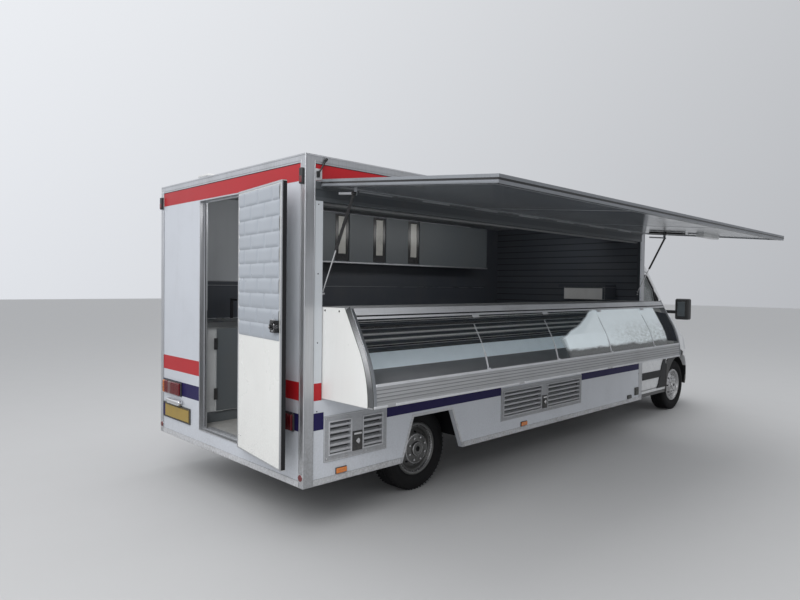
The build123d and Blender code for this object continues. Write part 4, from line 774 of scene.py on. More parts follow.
def geometry_tree(name, inputs):
    """An empty Geometry Nodes tree with named inputs and a mesh output."""
    tree = bpy.data.node_groups.new(name, "GeometryNodeTree")
    tree.interface.new_socket("Geometry", in_out="OUTPUT", socket_type="NodeSocketGeometry")
    for label, kind, value in inputs:
        socket = tree.interface.new_socket(label, in_out="INPUT", socket_type=kind)
        if value is not None:
            socket.default_value = value
    return tree, tree.nodes.new("NodeGroupInput"), tree.nodes.new("NodeGroupOutput")


def close_tree(tree, given, result, geometry):
    """Ends a tree in Realize Instances and Set Material."""
    real = put(tree, "GeometryNodeRealizeInstances", {0: geometry})
    shaded = put(
        tree, "GeometryNodeSetMaterial",
        {"Geometry": real.outputs[0], "Material": given.outputs["Material"]}
    )
    tree.links.new(shaded.outputs[0], result.inputs["Geometry"])
    return tree


def make_row_tree():
    """A block repeated in equal steps from Start to End."""
    tree, given, result = geometry_tree("row_of_blocks", (
        ("Start", VECTOR, None), ("End", VECTOR, None), ("Count", "NodeSocketInt", 4), ("Size", VECTOR, None),
        ("Turn", VECTOR, None), ("Material", "NodeSocketMaterial", None)))
    line = put(
        tree, "GeometryNodeMeshLine",
        {
            "Count": given.outputs["Count"], "Start Location": given.outputs["Start"],
            "Offset": given.outputs["End"]
        },
        mode="END_POINTS"
    )
    block = put(tree, "GeometryNodeMeshCube", {"Size": given.outputs["Size"]})
    turn = put(tree, "FunctionNodeEulerToRotation", {0: given.outputs["Turn"]})
    many = put(tree, "GeometryNodeInstanceOnPoints",
               {"Points": line.outputs[0], "Instance": block.outputs[0], "Rotation": turn.outputs[0]})
    return close_tree(tree, given, result, many.outputs[0])


def make_screw_tree():
    """Round heads repeated in equal steps from Start to End."""
    tree, given, result = geometry_tree(
        "row_of_screws",
        (
            ("Start", VECTOR, None), ("End", VECTOR, None), ("Count", "NodeSocketInt", 4),
            ("Radius", FLOAT, 0.005), ("Rise", FLOAT, 0.003), ("Turn", VECTOR, None),
            ("Material", "NodeSocketMaterial", None)
        )
    )
    line = put(
        tree, "GeometryNodeMeshLine",
        {
            "Count": given.outputs["Count"], "Start Location": given.outputs["Start"],
            "Offset": given.outputs["End"]
        },
        mode="END_POINTS"
    )
    top = sums(tree, "MULTIPLY", given.outputs["Radius"], 0.6)
    head = put(
        tree, "GeometryNodeMeshCone",
        {
            "Vertices": 14, "Radius Top": top, "Radius Bottom": given.outputs["Radius"],
            "Depth": given.outputs["Rise"]
        }
    )
    turn = put(tree, "FunctionNodeEulerToRotation", {0: given.outputs["Turn"]})
    many = put(tree, "GeometryNodeInstanceOnPoints",
               {"Points": line.outputs[0], "Instance": head.outputs[0], "Rotation": turn.outputs[0]})
    return close_tree(tree, given, result, many.outputs[0])


def make_ring_tree():
    """A block repeated round the Y axis, its Z pointing outwards."""
    tree, given, result = geometry_tree(
        "ring_of_blocks",
        (
            ("Count", "NodeSocketInt", 60), ("Radius", FLOAT, 0.34), ("Size", VECTOR, None),
            ("Slant", FLOAT, 0.0), ("Material", "NodeSocketMaterial", None)
        )
    )
    circle = put(
        tree, "GeometryNodeMeshCircle",
        {"Vertices": given.outputs["Count"], "Radius": given.outputs["Radius"]}
    )
    upright = put(
        tree, "GeometryNodeTransform", {"Geometry": circle.outputs[0], "Rotation": (math.pi / 2, 0, 0)}
    )
    outward = put(
        tree, "FunctionNodeAlignRotationToVector",
        {"Vector": put(tree, "GeometryNodeInputPosition").outputs[0]}, axis="Z"
    )
    slanted = put(
        tree, "FunctionNodeRotateRotation",
        {
            "Rotation": outward.outputs[0],
            "Rotate By": put(
                tree, "FunctionNodeAxisAngleToRotation",
                {"Axis": (0.0, 0.0, 1.0), "Angle": given.outputs["Slant"]}
            ).outputs[0]
        },
        rotation_space="LOCAL"
    )
    block = put(tree, "GeometryNodeMeshCube", {"Size": given.outputs["Size"]})
    many = put(tree, "GeometryNodeInstanceOnPoints",
               {"Points": upright.outputs[0], "Instance": block.outputs[0], "Rotation": slanted.outputs[0]})
    return close_tree(tree, given, result, many.outputs[0])


def make_quilt_tree():
    """A sheet in X and Y pressed into staggered pads."""
    tree, given, result = geometry_tree("pressed_pads", (
        ("Width", FLOAT, 0.6), ("Height", FLOAT, 1.0), ("Pad Width", FLOAT, 0.23), ("Pad Height", FLOAT, 0.1),
        ("Rise", FLOAT, 0.006), ("Columns", "NodeSocketInt", 120), ("Rows", "NodeSocketInt", 180),
        ("Material", "NodeSocketMaterial", None)))
    sheet = put(
        tree, "GeometryNodeMeshGrid",
        {
            "Size X": given.outputs["Width"], "Size Y": given.outputs["Height"],
            "Vertices X": given.outputs["Columns"], "Vertices Y": given.outputs["Rows"]
        }
    )
    parts = put(tree, "ShaderNodeSeparateXYZ", {0: put(tree, "GeometryNodeInputPosition").outputs[0]})
    across = sums(tree, "DIVIDE", sums(tree, "ADD", parts.outputs["X"], 5.0), given.outputs["Pad Width"])
    half_height = sums(tree, "DIVIDE", given.outputs["Height"], 2.0)
    upward = sums(
        tree, "DIVIDE", sums(tree, "ADD", parts.outputs["Y"], half_height), given.outputs["Pad Height"]
    )
    odd = sums(tree, "MODULO", sums(tree, "FLOOR", upward), 2.0)
    across = sums(tree, "FRACT", sums(tree, "ADD", across, sums(tree, "MULTIPLY", odd, 0.5)))
    upward = sums(tree, "FRACT", upward)

    def crown(value, sharpness):
        away = sums(tree, "ABSOLUTE", sums(tree, "SUBTRACT", sums(tree, "MULTIPLY", value, 2.0), 1.0))
        return sums(tree, "SUBTRACT", 1.0, sums(tree, "POWER", away, sharpness))

    lift = sums(
        tree, "MULTIPLY", sums(tree, "MULTIPLY", crown(across, 10.0), crown(upward, 5.0)),
        given.outputs["Rise"]
    )
    offset = put(tree, "ShaderNodeCombineXYZ", {"Z": lift})
    pressed = put(
        tree, "GeometryNodeSetPosition", {"Geometry": sheet.outputs[0], "Offset": offset.outputs[0]}
    )
    return close_tree(tree, given, result, pressed.outputs[0])


ROW, SCREWS, RING, QUILT = make_row_tree(), make_screw_tree(), make_ring_tree(), make_quilt_tree()


def grown(tree, name, **values):
    """Runs a tree with its inputs set by name and gives back a plain mesh."""
    carrier = bpy.data.objects.new(name + "_maker", bpy.data.meshes.new(name + "_maker"))
    scene.collection.objects.link(carrier)
    modifier = carrier.modifiers.new("make", "NODES")
    modifier.node_group = tree
    for item in tree.interface.items_tree:
        if item.item_type == "SOCKET" and item.in_out == "INPUT" and item.name.replace(" ", "_") in values:
            modifier[item.identifier] = values[item.name.replace(" ", "_")]
    mesh = bpy.data.meshes.new_from_object(carrier.evaluated_get(bpy.context.evaluated_depsgraph_get()))
    bpy.data.objects.remove(carrier)
    mesh.name = name
    return mesh


def screw_row(
    name, body, start, end, count, turn=(0, 0, 0), radius=0.005, rise=0.003, material=None, place=None
):
    """A row of screw heads between two places on the truck."""
    mesh = grown(
        SCREWS, name, Start=spot(*start), End=spot(*end), Count=count, Radius=radius, Rise=rise,
        Turn=turn, Material=material or chrome
    )
    return settle(name, mesh, body, None, "lock", turn=place)


def block_row(name, body, start, end, count, size, material, slot, place=None, turn=(0, 0, 0)):
    """A row of blocks between two places on the truck."""
    mesh = grown(
        ROW, name, Start=spot(*start), End=spot(*end), Count=count, Size=size, Turn=turn,
        Material=material
    )
    return settle(name, mesh, body, None, slot, turn=place)


def joined(name, meshes, body, slot, **how):
    """Several meshes of one body as one piece."""
    gathered = bmesh.new()
    materials = []
    for mesh in meshes:
        start = len(gathered.faces)
        gathered.from_mesh(mesh)
        gathered.faces.ensure_lookup_table()
        material = next(shade for shade in mesh.materials if shade)
        if material not in materials:
            materials.append(material)
        for face in gathered.faces[start:]:
            face.material_index = materials.index(material)
    whole = bpy.data.meshes.new(name)
    gathered.to_mesh(whole)
    gathered.free()
    for material in materials:
        whole.materials.append(material)
    return settle(name, whole, body, None, slot, **how)


FACE_REAR = (0, -math.pi / 2, 0)
FACE_RIGHT = (math.pi / 2, 0, 0)
FACE_LEFT = (-math.pi / 2, 0, 0)
FACE_FRONT = (0, math.pi / 2, 0)


def foil(shape, side, x0, x1, z0, z1):
    """A thin strip of foil on the right or left wall."""
    y = side * PANEL_Y
    shape.box(x0, x1, y, y + side * FOIL, z0, z1)


def rear_foil(shape, y0, y1, z0, z1):
    shape.box(PANEL_X - FOIL, PANEL_X, y0, y1, z0, z1)


# Stripes on the body
POST = 0.080
END_X = BODY_LENGTH - POST
red = Shape()
rear_foil(red, -STRIPE_END_Y, STRIPE_END_Y, 2.413, 2.531)
rear_foil(red, -STRIPE_END_Y, DOOR_Y[0] - DOOR_GAP, *RED_Z)
rear_foil(red, DOOR_Y[1] + DOOR_GAP, STRIPE_END_Y, *RED_Z)
foil(red, -1, POST, END_X, 2.420, 2.531)
foil(red, -1, POST, 0.150, 0.929, 1.048)
foil(red, 1, POST, END_X, 2.416, 2.531)
foil(red, 1, POST, END_X, 0.929, 1.048)
red.done("red_stripes", "body", red_foil, "white_panel")
blue = Shape()
rear_foil(blue, -STRIPE_END_Y, DOOR_Y[0] - DOOR_GAP, *BLUE_Z)
rear_foil(blue, DOOR_Y[1] + DOOR_GAP, STRIPE_END_Y, *BLUE_Z)
foil(blue, -1, POST, 0.170, 0.725, 0.844)
foil(blue, -1, 0.764, 2.190, 0.725, 0.842)
foil(blue, -1, 3.617, 4.985, 0.725, 0.842)
foil(blue, 1, POST, END_X, *BLUE_Z)
blue.done("blue_stripes", "body", blue_foil, "white_panel")

# Wall seams, screws and small fittings on the body
screw_row("rear_post_screws", "body", (0.112, -PANEL_Y - 0.001, 0.855), (0.112, -PANEL_Y - 0.001, 2.262), 4,
          turn=FACE_RIGHT, material=black_rubber)
boxes(
    "post_strip", "body", strip_grey, "white_panel",
    (0.083, 0.1485, -PANEL_Y + 0.001, -PANEL_Y - 0.0014, 1.066, 2.285)
)
screw_row("front_post_screws", "body", (4.982, -PANEL_Y - 0.001, 0.44), (4.982, -PANEL_Y - 0.001, 2.30), 9,
          turn=FACE_RIGHT, material=black_rubber)
screw_row("left_rear_screws", "body", (0.112, PANEL_Y + 0.001, 0.44), (0.112, PANEL_Y + 0.001, 2.36), 10,
          turn=FACE_LEFT, material=black_rubber)
screw_row("skirt_screws_right", "body", (1.80, -WALL_Y - 0.001, 0.368), (4.95, -WALL_Y - 0.001, 0.368), 13,
          turn=FACE_RIGHT, radius=0.004)
screw_row("skirt_screws_left", "body", (1.80, WALL_Y + 0.001, 0.368), (4.95, WALL_Y + 0.001, 0.368), 13,
          turn=FACE_LEFT, radius=0.004)
screw_row(
    "door_frame_screws", "body", (-0.001, DOOR_Y[1] + 0.009, 0.55), (-0.001, DOOR_Y[1] + 0.009, 2.36),
    8, turn=FACE_REAR, radius=0.003
)

ridges = Shape()
for side in (-1, 1):
    ridges.box(0.004, BODY_LENGTH - 0.004, side * (WALL_Y + 0.003), side * (WALL_Y - 0.002), 2.581, 2.587)
ridges.box(-0.003, 0.002, -WALL_Y, WALL_Y, 2.581, 2.587)
for side in (-1, 1):
    ridges.rod((0.004, side * (WALL_Y - 0.004), 0.35), (0.004, side * (WALL_Y - 0.004), 2.59), 0.0075, 20)
    ridges.box(-0.003, 0.002, side * 1.073, side * 1.079, 0.35, 2.55)
    ridges.box(0.076, 0.081, side * (WALL_Y - 0.002), side * (WALL_Y + 0.003), 0.35, 2.55)
    ridges.rod(
        (BODY_LENGTH - 0.004, side * (WALL_Y - 0.004), 0.35),
        (BODY_LENGTH - 0.004, side * (WALL_Y - 0.004), 2.59), 0.0075, 20
    )
ridges.done("profile_ridges", "body", satin_alu, "aluminium", bevel=0.001)

rim = Shape()
# rim_line: painted shadow, a black line under the roof trim.
rim_line = Shape()
skirt = Shape()
for side in (-1, 1):
    rim.box(0.080, BODY_LENGTH - 0.080, side * PANEL_Y, side * WALL_Y, 2.534, 2.547)
    rim_line.box(0.082, BODY_LENGTH - 0.082, side * PANEL_Y, side * (PANEL_Y + 0.002), 2.530, 2.534)
    for x0, x1 in ((0.084, 0.912), (1.676, 4.988)):
        skirt.box(x0, x1, side * (WALL_Y - 0.001), side * (WALL_Y + 0.001), 0.3475, 0.388)
rim.box(0.0, PANEL_X, -1.075, 1.075, 2.534, 2.547)
rim_line.box(0.001, PANEL_X, -1.073, 1.073, 2.530, 2.534)
skirt.box(-0.001, 0.001, -1.073, 1.073, 0.3475, 0.388)
rim.done("roof_trim_lower", "body", satin_alu, "aluminium")
rim_line.done("roof_trim_shadow_line", "body", black_rubber, "aluminium")
skirt.done("skirt_face", "body", light_alu, "aluminium")

seams = Shape()
for x in (1.72, 3.36):
    seams.box(x, x + 0.004, PANEL_Y, PANEL_Y + 0.0009, 0.39, 2.545)
seams.done("left_wall_seams", "body", black_rubber, "white_panel")

stay = Shape()
stay.rod((0.160, -1.137, 2.562), (0.100, -1.137, 2.466), 0.0055, 12)
stay.rod((0.168, -1.137, 2.574), (0.156, -1.137, 2.556), 0.0095, 12)
stay.box(0.088, 0.108, -1.124, -1.142, 2.440, 2.482)
stay.done("canopy_stay", "body", gloss_black, "strut_black", bevel=0.001)
boxes(
    "canopy_stay_plate", "body", light_alu, "aluminium",
    (0.082, 0.136, -PANEL_Y + 0.001, -1.127, 2.422, 2.500), bevel=0.001
)
boxes(
    "roof_vents", "body", box_white, "white_panel", (1.6, 2.0, 0.1, 0.5, 2.589, 2.625),
    (3.2, 3.6, -0.4, 0.0, 2.589, 2.625), (0.14, 0.30, 0.49, 0.64, 2.589, 2.645),
    (0.12, 0.32, 0.47, 0.66, 2.640, 2.664), bevel=0.012
)

# Tail lamps, plate and small lamps
LAMP_Z = (0.722, 0.838)
CHAMBERS = (
    ("red", lamp_red, 0.705, 0.872), ("clear", lamp_dull, 0.876, 0.930),
    ("dark", lamp_red, 0.934, 0.998), ("amber", lamp_amber, 1.002, 1.036)
)
for side, name, shift in ((1, "left", 0.0), (-1, "right", -0.020)):
    case = Shape()
    case.box(
        -0.012, 0.003, side * (0.698 + shift), side * (1.042 + shift), LAMP_Z[0] - 0.004,
        LAMP_Z[1] + 0.004
    )
    case = case.done(f"tail_lamp_case_{name}", "body", black_plastic, "lamp_red", bevel=0.005)
    for kind, material, y0, y1 in CHAMBERS:
        lens = Shape()
        lens.box(
            -0.028, -0.010, side * (y0 + shift), side * (y1 + shift), LAMP_Z[0] + 0.003,
            LAMP_Z[1] - 0.003
        )
        shown = lamp_red if side < 0 and kind == "amber" else material
        lens.done(f"tail_lamp_{kind}_{name}", "body", shown, "lamp_red", bevel=0.005)
    block_row(
        f"tail_lamp_ribs_{name}", "body", (-0.0285, side * (0.715 + shift), 0.780),
        (-0.0285, side * (1.030 + shift), 0.780), 22, (0.002, 0.0025, 0.094), lamp_red, "lamp_red"
    )
boxes(
    "plate_holder", "body", black_plastic, "plate", (-0.009, 0.003, 0.530, 1.062, 0.498, 0.634),
    bevel=0.003
)
boxes("plate_face", "body", plate_yellow, "plate", (-0.011, -0.008, 0.538, 1.012, 0.510, 0.622), bevel=0.001)
boxes("plate_end", "body", blue_foil, "plate", (-0.011, -0.008, 1.012, 1.054, 0.510, 0.622), bevel=0.001)
plate = Shape()
for z0, z1 in ((0.5115, 0.5145), (0.6175, 0.6205)):
    plate.box(-0.0120, -0.010, 0.542, 1.050, z0, z1)
for y0, y1 in ((0.541, 0.544), (1.048, 1.051)):
    plate.box(-0.0120, -0.010, y0, y1, 0.5115, 0.6205)
plate.done("plate_rim", "body", black_rubber, "plate")
boxes("plate_lamp", "body", chrome, "lock", (-0.045, 0.003, 0.672, 0.936, 0.648, 0.686), bevel=0.012)
boxes(
    "plate_lamp_lens", "body", lamp_clear, "lamp_clear", (-0.040, -0.004, 0.690, 0.918, 0.644, 0.650),
    bevel=0.002
)
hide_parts("tail_lamps")
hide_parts("number_plate")

for side, name in ((1, "left"), (-1, "right")):
    y = side * (WALL_Y - 0.028)
    lamp = Shape()
    lamp.rod((-0.004, y, 0.415), (0.0, y, 0.415), 0.030, 32)
    lamp.done(f"reflector_ring_{name}", "body", chrome, "lock", bevel=0.001)
    lamp = Shape()
    lamp.rod((0.0, y, 0.415), (-0.008, y, 0.415), 0.026, 32, tip=0.020)
    lamp.done(f"reflector_{name}", "body", lamp_red, "lamp_red", bevel=0.001)
    boxes(
        f"top_lamp_{name}", "body", black_plastic, "lamp_amber",
        (-0.024, 0.0, side * (WALL_Y - 0.044), side * (WALL_Y - 0.008), 2.388, 2.495), bevel=0.006
    )
    boxes(
        f"top_lamp_lens_{name}", "body", lamp_red, "lamp_red",
        (-0.026, -0.020, side * (WALL_Y - 0.040), side * (WALL_Y - 0.012), 2.395, 2.440), bevel=0.003
    )
    for index, x in enumerate((0.326, 2.556, 4.740)):
        boxes(
            f"marker_base_{name}_{index}", "body", black_plastic, "lamp_amber",
            (x - 0.050, x + 0.050, side * PANEL_Y, side * (WALL_Y + 0.004), 0.394, 0.438), bevel=0.002
        )
        lamp = Shape()
        lamp.box(x - 0.046, x + 0.046, side * (WALL_Y + 0.003), side * (WALL_Y + 0.013), 0.398, 0.434)
        lens = lamp_amber if index < 2 else socket_grey
        lamp.done(f"marker_lens_{name}_{index}", "body", lens, "lamp_amber", bevel=0.004)
boxes(
    "power_inlet", "body", socket_grey, "lamp_amber",
    (4.880, 4.972, -WALL_Y - 0.011, -PANEL_Y, 0.417, 0.510), bevel=0.004
)
boxes(
    "power_inlet_flap", "body", socket_grey, "lamp_amber",
    (4.888, 4.964, -WALL_Y - 0.015, -WALL_Y - 0.010, 0.425, 0.488),
    (4.900, 4.952, -WALL_Y - 0.020, -WALL_Y - 0.014, 0.470, 0.482), bevel=0.003
)
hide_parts("marker_lamps")

# Vents: field borders, slat lips, latch plates, screws and, behind them, a dark sheet of painted shade


def border(shape, x0, x1, z0, z1, y, width, rise):
    """A flat frame on the serving side round a field."""
    shape.box(x0 - width, x1 + width, y, y - rise, z0 - width, z0)
    shape.box(x0 - width, x1 + width, y, y - rise, z1, z1 + width)
    shape.box(x0 - width, x0, y, y - rise, z0, z1)
    shape.box(x1, x1 + width, y, y - rise, z0, z1)


VENTS = ((0.172, 0.762, 0.492, 0.813, 0.471, 0.050, (0.425, 0.520, 0.530, 0.672)),
         (2.192, 3.615, 0.484, 0.787, 2.9035, 0.042, (2.862, 2.945, 0.520, 0.648)))
for index, (x0, x1, z0, z1, latch, edge, lock) in enumerate(VENTS):
    y = -WALL_Y - 0.001
    low, high = z0 + edge, z1 - edge
    count = int((high - low) * 1000 // 38)
    rims = Shape()
    border(rims, x0 + 0.008, x1 - 0.008, z0 + 0.008, z1 - 0.008, y, 0.006, 0.003)
    for field, (f0, f1) in enumerate(((x0 + edge, latch - 0.060), (latch + 0.060, x1 - edge))):
        border(rims, f0, f1, low, high, y, 0.011, 0.006)
        step = (high - low) / count
        middle = (f0 + f1) / 2
        block_row(
            f"vent_slat_lips_{index}_{field}", "body", (middle, y + 0.0035, low + step / 2 - 0.006),
            (middle, y + 0.0035, high - step / 2 - 0.006), count, (f1 - f0, 0.004, 0.017), vent_light,
            "vent", turn=(0.25, 0, 0)
        )
    rims.done(f"vent_rims_{index}", "body", vent_light, "vent", bevel=0.0015)
    boxes(
        f"vent_latch_{index}", "body", black_plastic, "vent",
        (lock[0], lock[1], y, y - 0.005, lock[2], lock[3]), bevel=0.003
    )
    middle = ((lock[0] + lock[1]) / 2, (lock[2] + lock[3]) / 2)
    knob = Shape()
    knob.rod((middle[0], y - 0.004, middle[1]), (middle[0], y - 0.013, middle[1]), 0.017, 24)
    knob.box(middle[0] - 0.004, middle[0] + 0.004, y - 0.011, y - 0.019, middle[1] - 0.020, middle[1] + 0.020)
    knob.box(lock[0] + 0.012, lock[1] - 0.012, y - 0.004, y - 0.010, lock[3] - 0.026, lock[3] - 0.012)
    knob.done(f"vent_lock_{index}", "body", chrome, "lock", bevel=0.001)
    for row, z in enumerate((z0 + 0.022, z1 - 0.022)):
        screw_row(
            f"vent_screws_{index}_{row}", "body", (x0 + 0.024, y - 0.001, z),
            (x1 - 0.024, y - 0.001, z), 4 + 3 * index, turn=FACE_RIGHT, radius=0.004
        )
    # Painted shade: a dark sheet behind the slats.
    boxes(
        f"vent_dark_{index}", "body", vent_shadow, "vent",
        (x0 + 0.02, x1 - 0.02, -1.094, -1.092, z0 + 0.02, z1 - 0.02)
    )

# Rear door, drawn closed and turned open
QUILT_Z = (1.346, 2.376)
quilt = grown(
    QUILT, "door_quilt", Width=DOOR_Y[1] - DOOR_Y[0] - 0.050, Height=QUILT_Z[1] - QUILT_Z[0],
    Pad_Width=0.232, Pad_Height=(QUILT_Z[1] - QUILT_Z[0]) / 10, Rise=0.007, Columns=150, Rows=260,
    Material=quilt_grey
)
turn_up = Matrix(((0, 0, 1, 0), (1, 0, 0, 0), (0, 1, 0, 0), (0, 0, 0, 1)))
middle = spot(DOOR_INNER_X + 0.0005, sum(DOOR_Y) / 2, sum(QUILT_Z) / 2)
settle(
    "door_quilt", quilt, "rear_door", None, "door_white",
    turn=OPEN_DOOR @ Matrix.Translation(middle) @ turn_up, smooth=60
)
face_x = DOOR_INNER_X
boxes(
    "door_edge_trim", "rear_door", satin_alu, "door_white",
    (face_x - 0.001, face_x + 0.0035, DOOR_Y[0], DOOR_Y[1], DOOR_Z[1] - 0.014, DOOR_Z[1]),
    (face_x - 0.001, face_x + 0.0035, DOOR_Y[0], DOOR_Y[1], DOOR_Z[0], DOOR_Z[0] + 0.010),
    (face_x - 0.001, face_x + 0.0035, DOOR_Y[0], DOOR_Y[0] + 0.008, *DOOR_Z),
    (face_x - 0.001, face_x + 0.0035, DOOR_Y[1] - 0.012, DOOR_Y[1], *DOOR_Z),
    (0.030, face_x + 0.0035, DOOR_Y[1] - 0.001, DOOR_Y[1] + 0.0015, *DOOR_Z), bevel=0.001,
    turn=OPEN_DOOR
)
boxes(
    "door_seal", "rear_door", black_rubber, "door_white",
    (0.002, 0.0295, DOOR_Y[1] - 0.001, DOOR_Y[1] + 0.0030, DOOR_Z[0] + 0.004, DOOR_Z[1] - 0.004),
    (0.004, 0.020, DOOR_Y[0] + 0.004, DOOR_Y[1] - 0.004, DOOR_Z[1] - 0.001, DOOR_Z[1] + 0.0035),
    turn=OPEN_DOOR
)
boxes(
    "door_red_stripe", "rear_door", red_foil, "door_white",
    (PANEL_X - FOIL, PANEL_X, DOOR_Y[0] + 0.002, DOOR_Y[1] - 0.002, *RED_Z), turn=OPEN_DOOR
)
boxes(
    "door_blue_stripe", "rear_door", blue_foil, "door_white",
    (PANEL_X - FOIL, PANEL_X, DOOR_Y[0] + 0.002, DOOR_Y[1] - 0.002, *BLUE_Z), turn=OPEN_DOOR
)
for index, z in enumerate((0.60, 1.47, 2.25)):
    screw_row(
        f"door_hinge_screws_{index}", "rear_door", (face_x + 0.001, DOOR_Y[0] + 0.030, z),
        (face_x + 0.001, DOOR_Y[0] + 0.062, z), 2, turn=FACE_FRONT, radius=0.005, rise=0.003,
        place=OPEN_DOOR
    )
LOCK_Y = DOOR_Y[1] - 0.062
LOCK_Z = DOOR_Z[0] + 0.945
lock = Shape()
lock.rod((face_x + 0.030, LOCK_Y, LOCK_Z), (face_x + 0.046, LOCK_Y, LOCK_Z), 0.026, 28)
lock.rod((face_x + 0.044, LOCK_Y, LOCK_Z), (face_x + 0.058, LOCK_Y, LOCK_Z), 0.012, 24)
lock.box(face_x + 0.030, face_x + 0.040, LOCK_Y - 0.030, LOCK_Y + 0.030, LOCK_Z + 0.020, LOCK_Z + 0.034)
lock.done("door_lock_handle", "rear_door", gloss_black, "lock", bevel=0.002, turn=OPEN_DOOR)
lock = Shape()
lock.rod((face_x + 0.034, LOCK_Y, LOCK_Z), (face_x + 0.0365, LOCK_Y, LOCK_Z), 0.033, 32)
lock.rod((face_x + 0.057, LOCK_Y, LOCK_Z), (face_x + 0.061, LOCK_Y, LOCK_Z), 0.008, 20)
lock.box(face_x + 0.020, face_x + 0.0375, LOCK_Y - 0.034, LOCK_Y + 0.020, LOCK_Z + 0.041, LOCK_Z + 0.047)
lock.box(face_x + 0.004, face_x + 0.030, LOCK_Y + 0.020, LOCK_Y + 0.036, LOCK_Z - 0.014, LOCK_Z + 0.010)
lock.done("door_lock_plates", "rear_door", chrome, "lock", bevel=0.001, turn=OPEN_DOOR)

# Door frame: seal and threshold
boxes(
    "doorway_seal", "body", black_rubber, "aluminium",
    (0.0385, 0.0418, DOOR_Y[1] - 0.0205, DOOR_Y[1] - 0.0130, 0.509, 2.380),
    (0.0385, 0.0418, DOOR_Y[0] + 0.0090, DOOR_Y[0] + 0.0205, 0.509, 2.380)
)
boxes(
    "doorway_threshold", "body", steel_top, "aluminium",
    (0.044, 0.100, DOOR_Y[0] + 0.030, DOOR_Y[1] - 0.030, 0.4995, 0.5030), bevel=0.001
)
block_row(
    "threshold_ribs", "body", (0.052, -0.003, 0.504), (0.092, -0.003, 0.504), 6, (0.003, 0.64, 0.003),
    satin_alu, "aluminium"
)

# Canopy, drawn level and lowered
CANOPY_NEAR = CANOPY_AXIS[0] - 0.014
CANOPY_FAR = CANOPY_AXIS[0] - CANOPY_REACH
UNDER_Z = CANOPY_AXIS[1]
rails = Shape()
shade = Shape()
for x, way in ((CANOPY_X[0], 1), (CANOPY_X[1], -1)):
    rails.box(x, x + way * 0.010, CANOPY_FAR, CANOPY_NEAR, UNDER_Z - 0.004, UNDER_Z + 0.002)
    rails.box(
        x + way * 0.046, x + way * 0.058, CANOPY_FAR + 0.05, CANOPY_NEAR, UNDER_Z - 0.004,
        UNDER_Z + 0.002
    )
    shade.box(
        x + way * 0.010, x + way * 0.046, CANOPY_FAR + 0.012, CANOPY_NEAR, UNDER_Z - 0.002,
        UNDER_Z + 0.002
    )
    shade.box(x - way * 0.0008, x + way * 0.002, CANOPY_FAR, CANOPY_NEAR, UNDER_Z + 0.014, UNDER_Z + 0.026)
for near, far in ((0.0, 0.010), (0.046, 0.058)):
    rails.box(CANOPY_X[0], CANOPY_X[1], CANOPY_FAR + near, CANOPY_FAR + far, UNDER_Z - 0.004, UNDER_Z + 0.002)
shade.box(
    CANOPY_X[0] + 0.010, CANOPY_X[1] - 0.010, CANOPY_FAR + 0.010, CANOPY_FAR + 0.046, UNDER_Z - 0.002,
    UNDER_Z + 0.002
)
shade.box(CANOPY_X[0], CANOPY_X[1], CANOPY_FAR - 0.0008, CANOPY_FAR + 0.002, UNDER_Z + 0.014, UNDER_Z + 0.026)
rails.done("canopy_edge_lips", "canopy", drawn_alu, "canopy", bevel=0.001, turn=OPEN_CANOPY)
shade.done("canopy_edge_gaskets", "canopy", gloss_black, "canopy", turn=OPEN_CANOPY)
bars = Shape()
for x in (0.185, 4.925):
    bars.box(x, x + 0.020, CANOPY_AXIS[0] - 0.112, CANOPY_AXIS[0] - 0.285, UNDER_Z - 0.034, UNDER_Z - 0.050)
bars.done("strut_bracket_bars", "canopy", light_alu, "canopy", bevel=0.002, turn=OPEN_CANOPY)
boxes(
    "canopy_lamp_wiring_trunk", "canopy", gloss_black, "canopy",
    (4.40, 4.46, CANOPY_AXIS[0] - 0.34, CANOPY_AXIS[0] - 0.72, UNDER_Z + 0.001, UNDER_Z - 0.020),
    bevel=0.004, turn=OPEN_CANOPY
)
seams = Shape()
for x in (1.76, 3.42):
    seams.box(x, x + 0.006, CANOPY_FAR + 0.062, CANOPY_NEAR - 0.062, UNDER_Z + 0.0025, UNDER_Z + 0.0045)
seams.done("canopy_seams", "canopy", satin_alu, "canopy", turn=OPEN_CANOPY)
boxes(
    "canopy_lamp_base", "canopy", satin_alu, "lamp_white",
    (4.475, 4.935, CANOPY_AXIS[0] - 0.828, CANOPY_AXIS[0] - 0.732, UNDER_Z - 0.004, UNDER_Z + 0.003),
    bevel=0.002, turn=OPEN_CANOPY
)

# Header over the hatch: a dark panel and the dark front reveal, both painted shade, and a thin bright rail
boxes(
    "hatch_dark_lining", "body", header_painted_shade, "dark_panel",
    (0.084, 4.988, -PANEL_Y, -PANEL_Y - 0.0012, 2.311, 2.366),
    (4.9665, 4.9695, -1.083, -PANEL_Y + 0.001, 0.95, 2.287),
    (0.150, 4.970, -1.083, -PANEL_Y + 0.003, 2.283, 2.2875)
)
boxes(
    "header_inner_rail", "body", groove_grey, "aluminium", (0.150, 4.97, -1.080, -1.050, 2.268, 2.283),
    bevel=0.002
)

# Showcase details


